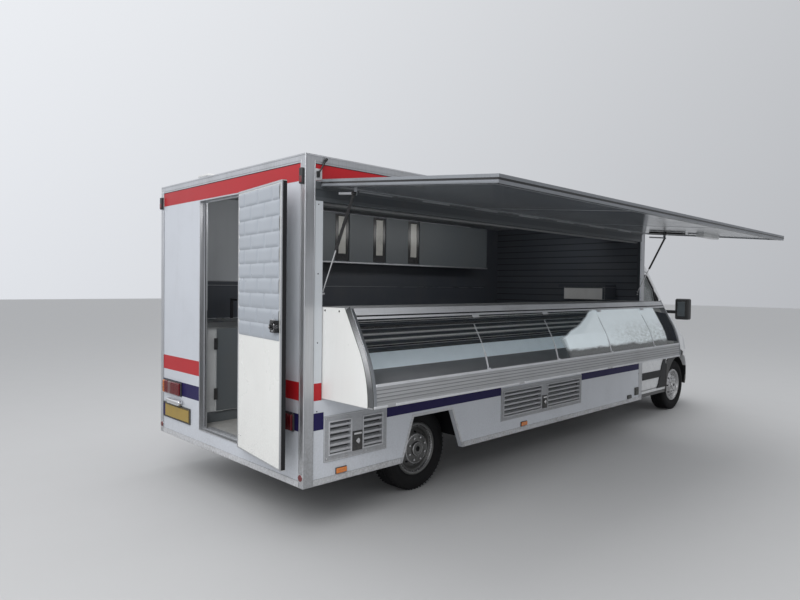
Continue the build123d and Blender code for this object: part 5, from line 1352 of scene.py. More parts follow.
def case_line(inset, low=0.941, high=1.567, steps=20):
    """Places down the showcase's front line as (out, z), moved in by inset."""
    top, knee, lip = (0.291, 1.567), (0.447, 1.291), (0.526, 0.941)
    bow = ((lip[0] + knee[0]) / 2 + 0.023, (knee[1] + lip[1]) / 2)
    rows = [(top[0] + (knee[0] - top[0]) * t, top[1] + (knee[1] - top[1]) * t) for t in (0.0, 0.5)]
    for k in range(steps + 1):
        t = k / steps
        mid = (2 * bow[0] - (knee[0] + lip[0]) / 2, 2 * bow[1] - (knee[1] + lip[1]) / 2)
        rows.append(
            tuple((1 - t) ** 2 * knee[i] + 2 * t * (1 - t) * mid[i] + t ** 2 * lip[i] for i in (0, 1))
        )
    return [(out - inset, z) for out, z in rows if low <= z <= high]


def case_out(z):
    """How far the showcase's front stands out at height z."""
    line = case_line(0.0)
    for (out0, z0), (out1, z1) in zip(line, line[1:]):
        if z1 <= z <= z0:
            return out0 + (out1 - out0) * (z0 - z) / (z0 - z1)
    return line[-1][0]


def case_strip(shape, z0, z1, rise, x0=CASE_X[0] + CASE_CHEEK, x1=CASE_X[1] - CASE_CHEEK, depth=0.007):
    """A strip along the showcase's front between two heights, standing out by rise."""
    low, high = case_out(z0), case_out(z1)
    rows = ((low + rise, z0), (high + rise, z1), (high - depth, z1), (low - depth, z0))
    shape.slab([(x0, -WALL_Y - out, z) for out, z in rows], x1 - x0, (1, 0, 0))


rail = Shape()
case_strip(rail, 1.5225, 1.5668, 0.003)
case_strip(rail, 1.4975, 1.5125, 0.004)
rail.done("showcase_top_rail", "showcase", light_alu, "aluminium", bevel=0.0015)
groove = Shape()
case_strip(groove, 1.5125, 1.5225, 0.001)
groove.done("showcase_rail_groove", "showcase", black_rubber, "aluminium")
joints = Shape()
clips = Shape()
for x in CASE_JOINTS:
    joints.bar(
        [(x, -WALL_Y - out - 0.0005, z) for out, z in case_line(0.004, 1.092, 1.50)], 0.004, 0.006,
        (1, 0, 0)
    )
    joints.bar(
        [(x, -WALL_Y - out - 0.001, z) for out, z in case_line(0.004, 1.092, 1.235)], 0.006, 0.014,
        (1, 0, 0)
    )
    clips.slab(
        [
            (x + 0.012, -WALL_Y - case_out(z) - rise, z)
            for z, rise in ((1.478, 0.003), (1.478, 0.007), (1.503, 0.007), (1.503, 0.003))
        ],
        0.080, (1, 0, 0)
    )
    clips.box(x - 0.014, x + 0.014, -WALL_Y - 0.526, -WALL_Y - 0.508, 1.088, 1.106)
joints.done("pane_joints", "showcase", light_alu, "glass")
clips.done("pane_clips", "showcase", light_alu, "aluminium", bevel=0.0015)
lip = Shape()
case_strip(lip, 1.078, 1.096, 0.008)
for x0, x1 in ((0.158, 0.275), (0.350, 1.710), (1.790, 3.160), (3.270, 4.873)):
    case_strip(lip, 0.9425, 0.960, 0.008, x0, x1, 0.004)
lip.done("fascia_lips", "showcase", light_alu, "aluminium", bevel=0.003)
# Painted shade: the fascia's grooves are dark strips.
ribs = Shape()
for index in range(4):
    z = 0.984 + 0.0235 * index
    case_strip(ribs, z, z + 0.006, 0.0012, depth=0.002)
ribs.done("fascia_grooves", "showcase", groove_grey, "aluminium")
cheek = Shape()
lines = Shape()
for x, way in ((CASE_X[0], -1), (CASE_X[1], 1)):
    rows = case_line(0.028, 0.956) + [(case_out(0.949) - 0.028, 0.949)]
    band = [(x + way * 0.0006, -WALL_Y - out, z) for out, z in rows]
    cheek.bar(band, 0.052, 0.0016, (1, 0, 0))
    for inset in (0.0015, 0.0545):
        lines.bar(
            [(x + way * 0.0012, -WALL_Y - out, z) for out, z in case_line(inset)], 0.0035, 0.002,
            (1, 0, 0)
        )
cheek.done("cheek_edge_band", "showcase", band_painted_reflection, "aluminium")
lines.done("cheek_band_lines", "showcase", socket_grey, "aluminium")
edge = Shape()
for x0 in (CASE_X[0], CASE_X[1] - CASE_CHEEK):
    outline = case_line(-0.0018)
    edge.bar(
        [(x0 + CASE_CHEEK / 2, -WALL_Y - out, z) for out, z in outline], CASE_CHEEK, 0.003,
        (0, -1, 0.35)
    )
edge.done("cheek_outer_edge", "showcase", drawn_alu, "aluminium", bevel=0.001)
screw_row(
    "cheek_screws", "showcase", (CASE_X[0] - 0.001, -WALL_Y - 0.022, 1.545),
    (CASE_X[0] - 0.001, -WALL_Y - 0.175, 1.545), 2, turn=FACE_REAR, radius=0.007, material=black_rubber
)
deck = Shape()
deck.slab(((0.19, -WALL_Y - 0.495, 1.0685), (0.19, -WALL_Y + 0.104, 1.1215), (0.19, -WALL_Y + 0.104, 1.1235),
           (0.19, -WALL_Y - 0.495, 1.0705)), CASE_X[1] - 0.19 - 0.035, (1, 0, 0))
deck.done("deck_mat", "showcase", deck_grey, "dark_panel")
band = Shape()
band.slab(((0.19, -WALL_Y + 0.098, 1.207), (0.19, -WALL_Y - 0.060, 1.1085), (0.19, -WALL_Y - 0.060, 1.1105),
           (0.19, -WALL_Y + 0.095, 1.209)), CASE_X[1] - 0.19 - 0.035, (1, 0, 0))
band.done("case_back_band", "showcase", band_blue_painted_glow, "steel")
boxes(
    "case_back_dark", "showcase", gloss_black, "dark_panel",
    (0.19, CASE_X[1] - 0.035, -WALL_Y + 0.110, -WALL_Y + 0.116, 1.205, 1.537)
)
block_row(
    "case_back_slats", "showcase", ((CASE_X[0] + CASE_X[1]) / 2, -WALL_Y + 0.098, 1.232),
    ((CASE_X[0] + CASE_X[1]) / 2, -WALL_Y + 0.098, 1.515), 7,
    (CASE_X[1] - CASE_X[0] - 0.06, 0.010, 0.027), slat_grey, "aluminium", turn=(-0.45, 0, 0)
)
block_row(
    "case_back_slat_lips", "showcase", ((CASE_X[0] + CASE_X[1]) / 2, -WALL_Y + 0.0885, 1.247),
    ((CASE_X[0] + CASE_X[1]) / 2, -WALL_Y + 0.0885, 1.530), 7,
    (CASE_X[1] - CASE_X[0] - 0.06, 0.004, 0.004), vent_grey, "aluminium"
)
cheek = Shape()
cheek.slab(
    [(CASE_X[1] - CASE_CHEEK - 0.0015, -WALL_Y - out, z) for out, z in case_line(0.012, 1.10, 1.50)] + [
        (CASE_X[1] - CASE_CHEEK - 0.0015, -WALL_Y + 0.09, 1.10),
        (CASE_X[1] - CASE_CHEEK - 0.0015, -WALL_Y + 0.09, 1.50)
    ],
    0.001, (1, 0, 0)
)
cheek.done("cheek_inner_face", "showcase", dark_laminate, "dark_panel")

# Inside fittings
doors = Shape()
grips = Shape()
for index in range(6):
    x0 = 0.210 + 0.690 * index
    doors.box(x0 + 0.004, x0 + 0.476, 0.479, 0.4825, 0.600, 1.322)
    grips.box(x0 - 0.020, x0 + 0.012, 0.470, 0.482, 0.70, 0.80)
    grips.box(x0 - 0.020, x0 + 0.012, 0.470, 0.482, 1.14, 1.24)
    grips.box(x0 + 0.420, x0 + 0.440, 0.455, 0.479, 0.90, 1.04)
boxes(
    "cabinet_plinth", "body", door_dark, "cabinet", (0.056, 4.69, 0.4965, 0.4995, 0.5015, 0.594),
    bevel=0.001
)
boxes("worktop_nosing", "body", light_alu, "steel", (0.058, 4.69, 0.4925, 0.4975, 1.337, 1.373), bevel=0.002)
doors.done("cabinet_door_faces", "body", door_dark, "cabinet", bevel=0.0008)
grips.done("cabinet_hinges", "body", black_plastic, "cabinet", bevel=0.002)
boxes(
    "dark_splashback", "body", dark_laminate, "dark_panel", (0.06, 4.70, 1.064, 1.0690, 1.380, 1.698),
    (0.045, 0.052, 0.50, 1.07, 1.38, 1.72), (0.052, 0.98, 1.070, 1.0775, 1.702, 1.745), bevel=0.001
)
boxes(
    "dark_wall_lining", "body", dark_laminate, "dark_panel", (0.99, 5.02, 1.070, 1.0785, 1.702, 1.965),
    (4.702, 5.02, 1.070, 1.0785, 0.50, 1.702), (4.40, 5.02, 1.070, 1.0785, 1.965, 2.545)
)
boxes("grey_wall_lining", "body", wall_grey, "dark_panel", (0.052, 0.99, 1.0705, 1.0780, 1.748, 2.545))
boxes(
    "splashback_rail", "body", vent_grey, "aluminium", (0.052, 0.98, 1.066, 1.071, 1.738, 1.748),
    bevel=0.001
)
boxes("boarded_bulkhead", "body", boarded_dark, "dark_panel", (5.020, 5.0265, -1.078, 1.078, 0.502, 2.548))
boxes("ceiling_lining", "body", wall_grey, "dark_panel", (0.05, 5.02, -1.07, 1.07, 2.5455, 2.549))
boards = Shape()
strips = Shape()
bright = [1.785, 2.335, 2.895]
edges = [1.0] + [edge for x in bright for edge in (x - 0.02, x + 0.17)] + [4.40]
for x0, x1 in zip(edges[0::2], edges[1::2]):
    boards.box(x0 + 0.004, x1 - 0.004, 0.788, 0.7995, 1.972, 2.498)
frames = Shape()
for x in bright:
    strips.box(x + 0.025, x + 0.125, 0.7935, 0.7995, 2.06, 2.465)
    frames.box(x - 0.016, x + 0.166, 0.7955, 0.7998, 1.985, 2.485)
boards.done("menu_boards", "body", door_dark, "dark_panel", bevel=0.002)
frames.done("strip_frames", "body", gloss_black, "dark_panel")
strips.done("mirror_strips", "body", mirror_pane, "lock", bevel=0.001)
boxes("board_ledge", "body", satin_alu, "aluminium", (1.0, 4.40, 0.775, 0.80, 1.955, 1.972), bevel=0.002)
boxes(
    "box_dark_frame", "body", dark_laminate, "dark_panel",
    (4.737, 4.7405, -0.7835, -0.752, 1.575, 1.7215), (4.737, 4.7405, -0.752, -0.222, 1.713, 1.7225),
    (4.745, 5.021, -0.780, -0.130, 1.724, 1.760), (4.742, 5.020, -0.7855, -0.7838, 1.575, 1.7215),
    bevel=0.001
)

# Tyres: grooved tread and shoulder blocks in place of the plain solids
TREAD = [
    (RIM_RADIUS + 0.0005, -0.084), (RIM_RADIUS + 0.012, -0.090), (0.247, -0.0965), (0.262, -0.0995),
    (0.2645, -0.1010), (0.282, -0.1022), (0.300, -0.1018), (0.303, -0.1005), (0.318, -0.0980),
    (0.3325, -0.0925), (0.3425, -0.0790)
]
RUN = [
    (0.3470, -0.0660), (0.3475, -0.0500), (0.3395, -0.0490), (0.3395, -0.0410), (0.3480, -0.0400),
    (0.3485, -0.0180), (0.3400, -0.0170), (0.3400, -0.0090), (0.3486, -0.0080)
]
RIM_LINE = (
    (0.2212, 0.0900), (0.2120, 0.0945), (0.2040, 0.0900), (0.1990, 0.0720), (0.1930, 0.0640),
    (0.1860, 0.0700), (0.1760, 0.0710), (0.1690, 0.0620), (0.1660, 0.0490), (0.0560, 0.0550),
    (0.0540, 0.0340), (0.1800, 0.0380), (0.1960, 0.0500), (0.1980, -0.0880), (0.2212, -0.0900)
)
RING_LINES = (((0.2040, 0.0845), (0.2000, 0.0850), (0.1895, 0.0690), (0.1890, 0.0645), (0.1935, 0.0645)),
              ((0.1275, 0.0900), (0.1255, 0.0945), (0.1200, 0.0972), (0.1180, 0.0965), (0.1225, 0.0920)),
              ((0.0588, 0.1085), (0.0583, 0.1115), (0.0545, 0.1150), (0.0520, 0.1147), (0.0560, 0.1090)))
DISH_LINE = (
    (0.1655, 0.0500), (0.1655, 0.0530), (0.1520, 0.0590), (0.1240, 0.0940), (0.1180, 0.0960),
    (0.0620, 0.0970), (0.0580, 0.1100), (0.0540, 0.1140), (0.0280, 0.1150), (0.0225, 0.1130),
    (0.0225, 0.0900), (0.1150, 0.0900), (0.1500, 0.0500)
)
half_line = TREAD + RUN
TYRE_LINE = half_line + [(r, -y) for r, y in reversed(half_line)]
for axle, x in (("rear", REAR_AXLE_X), ("front", FRONT_AXLE_X)):
    for side, sign in (("left", 1), ("right", -1)):
        body = f"wheel_{axle}_{side}"
        centre = (x, sign * WHEEL_Y, TYRE_RADIUS)
        tyre = Shape().lathe(TYRE_LINE, centre, 96).done(
            f"tyre_grooved_{axle}_{side}", body, tyre_rubber, "tyre", smooth=38
        )
        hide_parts(f"tyre_{axle}_{side}")
        move = Matrix.Translation(spot(*centre))
        rings = []
        for y, size, slant, count in (
            (0.0, (0.0035, 0.020, 0.010), 0.5, 72), (0.029, (0.0035, 0.020, 0.010), -0.5, 72),
            (-0.029, (0.0035, 0.020, 0.010), -0.5, 72), (0.073, (0.006, 0.030, 0.014), 0.15, 64),
            (-0.073, (0.006, 0.030, 0.014), 0.15, 64)
        ):
            ring = grown(
                RING, "tread_blocks", Count=count, Radius=0.3425, Size=size, Slant=slant,
                Material=tyre_rubber
            )
            ring.transform(move @ Matrix.Translation((0, y, 0)))
            rings.append(ring)
        joined(f"tyre_tread_{axle}_{side}", rings, body, "tyre")
        metal = dish_grey if axle == "rear" else wheel_trim
        for label, lines, shade in (
            ("rim_turned", (RIM_LINE,), metal), ("rim_bright_rings", RING_LINES, wheel_trim),
            ("wheel_dish", (DISH_LINE,), metal)
        ):
            turned = Shape()
            for line in lines:
                turned.lathe([(r, sign * y) for r, y in line], centre, 72)
            turned = turned.done(f"{label}_{axle}_{side}", body, shade, "wheel_steel", smooth=35)
            if label == "rim_turned":
                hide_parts(f"rim_{axle}_{side}")
        nuts = Shape()
        holes = Shape()
        y = sign * WHEEL_Y
        for index in range(8):
            turn = math.tau * (index + 0.5) / 8
            nut = (x + 0.096 * math.sin(turn), TYRE_RADIUS + 0.096 * math.cos(turn))
            nuts.rod(
                (nut[0], y + sign * 0.095, nut[1]), (nut[0], y + sign * 0.111, nut[1]), 0.0125, 6,
                tip=0.010
            )
            turn = math.tau * index / 8
            ends = [(x + r * math.sin(turn), y + sign * out, TYRE_RADIUS + r * math.cos(turn))
                    for r, out in ((0.1345, 0.0738), (0.1390, 0.0773))]
            holes.rod(*ends, 0.012, 20)
        holes.rod((x, y + sign * 0.091, TYRE_RADIUS), (x, y + sign * 0.102, TYRE_RADIUS), 0.022, 24)
        nuts.done(f"wheel_nuts_{axle}_{side}", body, chrome, "wheel_steel", bevel=0.001)
        # Painted shade: the trim's holes are black discs.
        holes.done(f"wheel_holes_{axle}_{side}", body, black_rubber, "wheel_steel")
for side in (-1, 1):
    liner = Shape()
    liner.box(REAR_AXLE_X - 0.424, REAR_AXLE_X + 0.424, side * 0.597, side * 1.080, 0.749, 0.7515)
    liner.box(REAR_AXLE_X - 0.424, REAR_AXLE_X + 0.424, side * 0.5955, side * 0.598, 0.400, 0.749)
    for x0 in (REAR_AXLE_X - 0.4245, REAR_AXLE_X + 0.4225):
        liner.box(x0, x0 + 0.002, side * 0.598, side * 1.080, 0.400, 0.749)
    liner.done(f"rear_well_liner_{'left' if side > 0 else 'right'}", "body", black_rubber, "floor")

# Cab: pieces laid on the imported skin
CAB_REAR = BODY_LENGTH + 0.005
CAB_SIDE = 0.985
WELL_RADIUS = 0.44
DOOR_FRONT_X = 6.095


def skin_of(*names):
    """The named nodes' surfaces as one search tree."""
    points, faces = [], []
    for name in names:
        mesh = nodes[name].data
        start = len(points)
        points += [vert.co.copy() for vert in mesh.vertices]
        faces += [[start + index for index in face.vertices] for face in mesh.polygons]
    return BVHTree.FromPolygons(points, faces)


def laid_on(tree, points, way, rise):
    """Points moved along a direction onto a surface, then lifted off it by rise."""
    way = Vector(way).normalized()
    found = []
    for point in points:
        hit = tree.ray_cast(spot(*point) - way * 0.6, way)[0]
        if hit:
            found.append(tuple(hit - way * rise - spot(0, 0, 0)))
    return found


def along_edges(corners, step=0.05):
    """Points at even steps along a closed outline, back to its start."""
    points = []
    for first, second in zip(corners, corners[1:] + corners[:1]):
        first, second = Vector(first), Vector(second)
        count = max(1, round((second - first).length / step))
        points += [first.lerp(second, k / count) for k in range(count)]
    return points + [Vector(corners[0])]


def grown_outline(corners, by):
    """An outline in x and z moved away from its middle."""
    mid_x = sum(x for x, z in corners) / len(corners)
    mid_z = sum(z for x, z in corners) / len(corners)
    return [(x + math.copysign(by, x - mid_x), z + math.copysign(by, z - mid_z)) for x, z in corners]


WINDOWS = (((5.215, 1.392), (5.80, 1.392), (5.80, 1.70), (5.62, 1.87), (5.215, 1.885)),
           ((5.84, 1.392), (6.04, 1.392), (6.04, 1.48), (5.84, 1.665)))
for side, name in ((1, "left"), (-1, "right")):
    body = f"cab_door_{name}"
    skin = skin_of(body, f"door_glass_{name}")
    rubber = Shape()
    for window in WINDOWS:
        outline = [(x, side * 1.0, z) for x, z in grown_outline(window, 0.010)]
        rubber.bar(laid_on(skin, along_edges(outline), (0, -side, 0), 0.001), 0.030, 0.010, (0, side, 0.15))
    rubber.done(f"window_rubbers_{name}", body, black_rubber, "cab_paint")
    boxes(
        f"door_rub_strip_{name}", body, strip_black, "cab_paint",
        (CAB_REAR + 0.078, 5.930, side * (CAB_SIDE - 0.001), side * (CAB_SIDE + 0.012), 0.530, 0.622),
        bevel=0.005
    )
    pad = Shape()
    pad.slab(
        [
            (x, side * (CAB_SIDE - 0.001), z)
            for x, z in (
                (6.080, 0.800), (6.020, 0.780), (5.955, 0.680), (5.915, 0.560), (5.860, 0.440),
                (5.815, 0.385), (6.080, 0.385)
            )
        ],
        side * 0.013, (0, 1, 0)
    )
    pad.done(f"door_arch_pad_{name}", body, strip_black, "cab_paint", bevel=0.004)
    boxes(
        f"door_pull_{name}", body, black_plastic, "cab_paint",
        (5.195, 5.335, side * (CAB_SIDE - 0.001), side * (CAB_SIDE + 0.004), 1.245, 1.305),
        (5.205, 5.325, side * (CAB_SIDE + 0.003), side * (CAB_SIDE + 0.017), 1.262, 1.286), bevel=0.004
    )
    boxes(
        f"mirror_pane_{name}", body, mirror_glass, "cab_paint",
        (5.7868, 5.7905, side * 1.250, side * 1.345, 1.362, 1.550), bevel=0.0015
    )

    skin = skin_of("cab_shell", "cab_front")
    flare = Shape()
    liner = Shape()
    rings = []
    arc = [math.radians(-95 + 107 * k / 40) for k in range(41)]
    for angle in arc:
        ring = []
        reach = 0.590 - 0.090 * max(0.0, min(1.0, (angle + 0.5) / 0.7))
        if angle < 0:
            reach = min(reach, (FRONT_AXLE_X - DOOR_FRONT_X) / -math.sin(angle))
        for radius, rise in (
            (WELL_RADIUS - 0.003, None), (WELL_RADIUS - 0.003, 0.012), (reach - 0.012, 0.012),
            (reach, -0.004)
        ):
            point = (
                FRONT_AXLE_X + radius * math.sin(angle), side * 1.1,
                TYRE_RADIUS + radius * math.cos(angle)
            )
            wide = max(radius, 0.447)
            probe = (FRONT_AXLE_X + wide * math.sin(angle), side * 1.1, TYRE_RADIUS + wide * math.cos(angle))
            hit = laid_on(skin, [probe], (0, -side, 0), 0.0)
            y = abs(hit[0][1]) if hit and abs(hit[0][1]) > 0.86 else CAB_SIDE
            ring.append((point[0], side * (y - 0.03 if rise is None else y + rise), point[2]))
        rings.append([flare.mesh.verts.new(spot(*place)) for place in ring])
    for first, second in zip(rings, rings[1:]):
        for i in range(4):
            flare.mesh.faces.new((first[i], first[(i + 1) % 4], second[(i + 1) % 4], second[i]))
    flare.mesh.faces.new(rings[0])
    flare.mesh.faces.new(rings[-1][::-1])
    flare.done(f"arch_flare_{name}", "body", black_plastic, "bumper_black", bevel=0.002)
    inner = [
        (
            FRONT_AXLE_X + (WELL_RADIUS - 0.004) * math.sin(a), side * 0.475,
            TYRE_RADIUS + (WELL_RADIUS - 0.004) * math.cos(a)
        )
        for a in (math.radians(-93 + 183 * k / 36) for k in range(37))
    ]
    outer = [(x + (x - FRONT_AXLE_X) * 0.005, y, z + (z - TYRE_RADIUS) * 0.005) for x, y, z in inner]
    liner.slab(inner + outer[::-1], side * 0.42, (0, 1, 0))
    liner.slab(inner, side * 0.001, (0, 1, 0))
    liner.done(f"well_liner_{name}", "body", black_rubber, "bumper_black")

SCREEN_MIDDLE = Vector((CAB_REAR + 1.085, 0, 1.7525))
SCREEN_UP = Vector((-0.7624, 0, 0.6471))
SCREEN_OUT = Vector((0.6471, 0, 0.7624))


def on_screen(y, t):
    return tuple(SCREEN_MIDDLE + Vector((0, y, 0)) + SCREEN_UP * t)


screen_skin = skin_of("cab_shell", "cab_front", "windscreen")
corners = [on_screen(y, t) for y, t in ((-0.815, -0.455), (0.815, -0.455), (0.740, 0.455), (-0.740, 0.455))]
rubber = Shape()
rubber.bar(laid_on(screen_skin, along_edges(corners), -SCREEN_OUT, 0.002), 0.034, 0.010, SCREEN_OUT)
rubber.done("windscreen_rubber", "body", black_rubber, "cab_paint")
for name, start, end in (("left", (0.66, -0.43), (0.12, -0.10)), ("right", (0.02, -0.43), (-0.52, -0.10))):
    wiper = Shape()
    path = [
        on_screen(start[0] + (end[0] - start[0]) * k / 8, start[1] + (end[1] - start[1]) * k / 8)
        for k in range(9)
    ]
    wiper.tube(laid_on(screen_skin, path, -SCREEN_OUT, 0.013), 0.006, 8)
    blade = [on_screen(end[0] + 0.33 * (k - 4) / 8 * -0.4, end[1] + 0.62 * (k - 4) / 8) for k in range(9)]
    wiper.bar(laid_on(screen_skin, blade, -SCREEN_OUT, 0.004), 0.012, 0.012, SCREEN_OUT)
    wiper.done(f"wiper_{name}", "body", black_rubber, "cab_paint")

lamp_skin = skin_of("headlamps", "cab_front")
for side, name in ((1, "left"), (-1, "right")):
    for index, (y, radius) in enumerate(((0.655, 0.066), (0.800, 0.058))):
        hit, normal, _, _ = lamp_skin.ray_cast(spot(8.0, side * y, 0.920), Vector((-1, 0, 0)))
        base = tuple(hit - normal * 0.010 - spot(0, 0, 0))
        tip = tuple(hit + normal * 0.004 - spot(0, 0, 0))
        ring = Shape()
        ring.rod(base, tip, radius, 40)
        ring.done(f"lamp_reflector_{name}_{index}", "body", chrome, "lamp_clear", bevel=0.003)
        lens_tip = tuple(hit + normal * 0.007 - spot(0, 0, 0))
        lens = Shape()
        lens.rod(base, lens_tip, radius - 0.010, 40, tip=radius - 0.016)
        lens.done(f"lamp_bulb_lens_{name}_{index}", "body", lamp_clear, "lamp_clear", bevel=0.002)
boxes("front_plate", "body", plate_yellow, "plate", (7.4385, 7.446, -0.26, 0.26, 0.450, 0.560), bevel=0.002)
boxes(
    "front_plate_holder", "body", black_plastic, "bumper_black",
    (7.43, 7.442, -0.27, 0.27, 0.440, 0.570), (7.30, 7.425, -0.60, 0.60, 0.470, 0.475), bevel=0.003
)

# Cab inside: dash fittings, gear lever and padded seats
boxes(
    "dash_panels", "body", black_plastic, "dash_grey", (6.075, 6.118, 0.24, 0.60, 1.12, 1.225),
    (6.10, 6.118, -0.75, -0.30, 1.06, 1.19), (6.10, 6.118, -0.14, 0.14, 1.03, 1.22), bevel=0.004
)
for index in range(4):
    block_row(
        f"dash_vents_{index}", "body", (6.098, (-0.10, 0.10, 0.70, -0.82)[index], 1.135),
        (6.098, (-0.10, 0.10, 0.70, -0.82)[index], 1.205), 5, (0.004, 0.10, 0.005), gloss_black,
        "dash_grey"
    )
lever = Shape()
lever.tube([(5.93, 0.06, 0.50), (5.94, 0.06, 0.75), (5.90, 0.06, 0.96)], 0.010, 10)
lever.rod((5.90, 0.06, 0.95), (5.885, 0.06, 1.01), 0.024, 20, tip=0.020)
lever.done("gear_lever", "body", black_plastic, "dash_grey", bevel=0.003)

PAD_PRESSURE = 4.0
PAD_FRAMES = 20
PAD_MOVE = 0.022


def puffed(shape, name, voxel, cap):
    """A form remeshed and blown up by cloth under pressure, no point moving further than cap."""
    bmesh.ops.recalc_face_normals(shape.mesh, faces=shape.mesh.faces[:])
    mesh = bpy.data.meshes.new(name)
    shape.mesh.to_mesh(mesh)
    shape.mesh.free()
    pad = bpy.data.objects.new(name, mesh)
    scene.collection.objects.link(pad)
    remesh = pad.modifiers.new("remesh", "REMESH")
    remesh.mode = "VOXEL"
    remesh.voxel_size = voxel
    graph = bpy.context.evaluated_depsgraph_get()
    start = bpy.data.meshes.new_from_object(pad.evaluated_get(graph))
    pad.modifiers.clear()
    pad.data = start
    rest = [vert.co.copy() for vert in start.vertices]
    cloth = pad.modifiers.new("cloth", "CLOTH")
    cloth.settings.use_pressure = True
    cloth.settings.uniform_pressure_force = PAD_PRESSURE
    cloth.settings.effector_weights.gravity = 0.0
    for number in range(1, PAD_FRAMES + 1):
        scene.frame_set(number)
    graph = bpy.context.evaluated_depsgraph_get()
    start = bpy.data.meshes.new_from_object(pad.evaluated_get(graph))
    scene.frame_set(1)
    for vert, place in zip(start.vertices, rest):
        move = vert.co - place
        if move.length > cap:
            vert.co = place + move.normalized() * cap
    bpy.data.objects.remove(pad)
    return start


def seamed(mesh, lines, depth=0.007, width=0.012):
    """Channels pressed into a pad along planes: each is (axis, place)."""
    middle = sum((vert.co for vert in mesh.vertices), Vector()) / len(mesh.vertices)
    for vert in mesh.vertices:
        for axis, place in lines:
            near = abs(vert.co[axis] - place) / width
            if near < 1:
                inward = (middle - vert.co)
                inward[axis] = 0
                vert.co += inward.normalized() * depth * (1 - near * near)
    return mesh


SEAT_X = CAB_REAR
PAD_IN = 0.024
for name, y0, y1, seams_y, voxel in (
    ("driver", 0.180, 0.660, (0.30, 0.54), 0.008), ("bench", -0.760, 0.120, (-0.64, -0.32, 0.0), 0.010)
):
    base = Shape()
    base.box(SEAT_X + 0.257, SEAT_X + 0.713, y0 + 0.042, y1 - 0.042, 0.5015, 0.764)
    base = base.done(f"seat_base_{name}", "body", black_plastic, "seat_cloth", bevel=0.008)
    cushion = Shape()
    cushion.box(
        SEAT_X + 0.215 + PAD_IN, SEAT_X + 0.775 - PAD_IN, y0 + PAD_IN, y1 - PAD_IN, 0.760 + 0.020,
        0.900 - PAD_IN
    )
    back = Shape()
    rake = ((0.250, 0.925), (0.312, 0.925), (0.180, 1.536), (0.128, 1.536))
    back.slab([(SEAT_X + x, y0 + PAD_IN, z) for x, z in rake], y1 - y0 - 2 * PAD_IN, (0, 1, 0))
    seams = [(1, MIDDLE_Y + y) for y in seams_y]
    for part, shape, more in (
        ("cushion", cushion, [(0, REAR_X + SEAT_X + 0.60)]), ("back", back, [(2, 1.12), (2, 1.36)])
    ):
        mesh = seamed(puffed(shape, f"seat_{part}_{name}", voxel, PAD_MOVE), seams + more)
        piece = settle(f"seat_{part}_{name}", mesh, "body", seat_cloth, "seat_cloth", smooth=80)
        softened = piece.modifiers.new("softened", "SUBSURF")
        softened.levels = softened.render_levels = 1
        if name == "driver" and part == "cushion":
            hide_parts("cab_seats")

# Stage, light and camera
floor = bpy.data.meshes.new("floor")
reach = 60.0
ground = [(-reach, -reach, 0), (reach, -reach, 0), (reach, reach, 0), (-reach, reach, 0)]
floor.from_pydata(ground, [], [(0, 1, 2, 3)])
floor = bpy.data.objects.new("floor", floor)
scene.collection.objects.link(floor)
floor.data.materials.append(
    finish("pale_floor", (0.50, 0.50, 0.50), 0.75, amount=0.05, low=0.0, dirt=(0.45, 0.45, 0.45, 1))
)

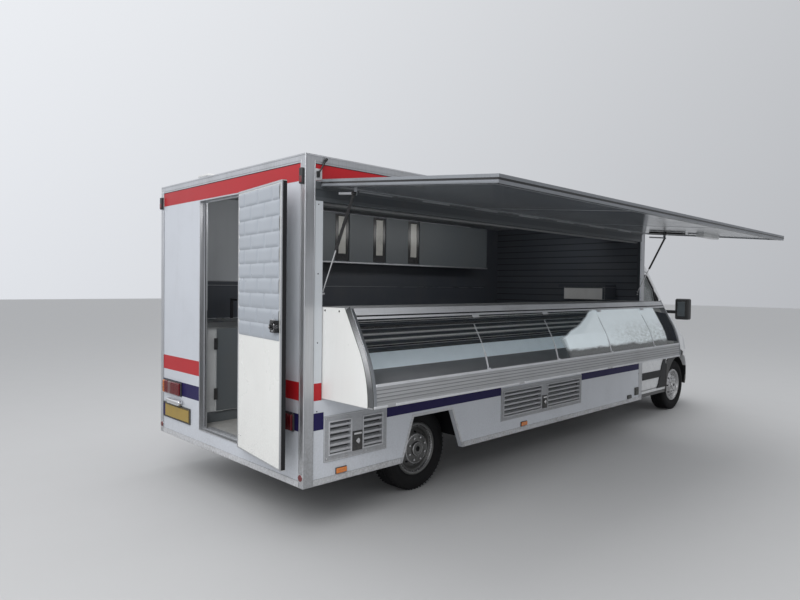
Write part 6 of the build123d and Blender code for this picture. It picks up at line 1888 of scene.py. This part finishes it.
SKY_STRENGTH = 0.85
SKY_LEAN = 0.28
world = bpy.data.worlds.new("overcast")
scene.world = world
world.use_nodes = True
sky = world.node_tree
way = put(sky, "ShaderNodeSeparateXYZ", {0: put(sky, "ShaderNodeTexCoord").outputs["Generated"]})
up = way.outputs["Z"]
shade = spread(sky, up, -0.1, 0.9)
tone = blended(sky, shade, (0.70, 0.72, 0.76, 1), (0.95, 0.97, 1.0, 1))
sky.links.new(tone, sky.nodes["Background"].inputs["Color"])
across = sums(sky, "SUBTRACT", way.outputs["Y"], way.outputs["X"])
sky.links.new(
    sums(sky, "ADD", sums(sky, "MULTIPLY", across, SKY_STRENGTH * SKY_LEAN), SKY_STRENGTH),
    sky.nodes["Background"].inputs["Strength"]
)


def area_lamp(name, place, target, size, power):
    light = bpy.data.lights.new(name, "AREA")
    light.shape = "RECTANGLE"
    light.size, light.size_y = size
    light.energy = power
    lamp = bpy.data.objects.new(name, light)
    lamp.location = place
    lamp.rotation_euler = (Vector(target) - Vector(place)).to_track_quat("-Z", "Y").to_euler()
    scene.collection.objects.link(lamp)


area_lamp("key_softbox", (-9.0, -4.0, 7.0), (0, 0, 1.0), (6.0, 6.0), 420.0)
area_lamp(
    "inside_glow", (REAR_X + 2.5, MIDDLE_Y - 0.5, 2.52), (REAR_X + 2.5, MIDDLE_Y + 0.9, 1.3),
    (4.4, 0.4), 17.0
)
area_lamp("top_softbox", (0.0, 0.0, 10.0), (0, 0, 0), (10.0, 6.0), 280.0)

# The camera stands where the photograph was taken
CAMERA_PLACE = (-2.43, -4.538, 1.725)
CAMERA_YAW, CAMERA_PITCH, CAMERA_ROLL = math.radians(45.821), math.radians(-1.393), math.radians(0.703)
FOCAL_PIXELS = 622.883
PHOTO_WIDTH = 800
ahead = Vector(
    (
        math.cos(CAMERA_YAW) * math.cos(CAMERA_PITCH), math.sin(CAMERA_YAW) * math.cos(CAMERA_PITCH),
        math.sin(CAMERA_PITCH)
    )
)
level = Vector((math.sin(CAMERA_YAW), -math.cos(CAMERA_YAW), 0))
above = level.cross(ahead)
right = level * math.cos(CAMERA_ROLL) + above * math.sin(CAMERA_ROLL)
above = right.cross(ahead)
camera = bpy.data.cameras.new("camera")
camera.sensor_width = 36
camera.lens = FOCAL_PIXELS / PHOTO_WIDTH * camera.sensor_width
camera = bpy.data.objects.new("camera", camera)
camera.matrix_world = Matrix.Translation(spot(*CAMERA_PLACE)) @ Matrix(
    (right, above, -ahead)
).transposed().to_4x4()
scene.collection.objects.link(camera)
scene.camera = camera
scene.view_settings.view_transform = "Standard"
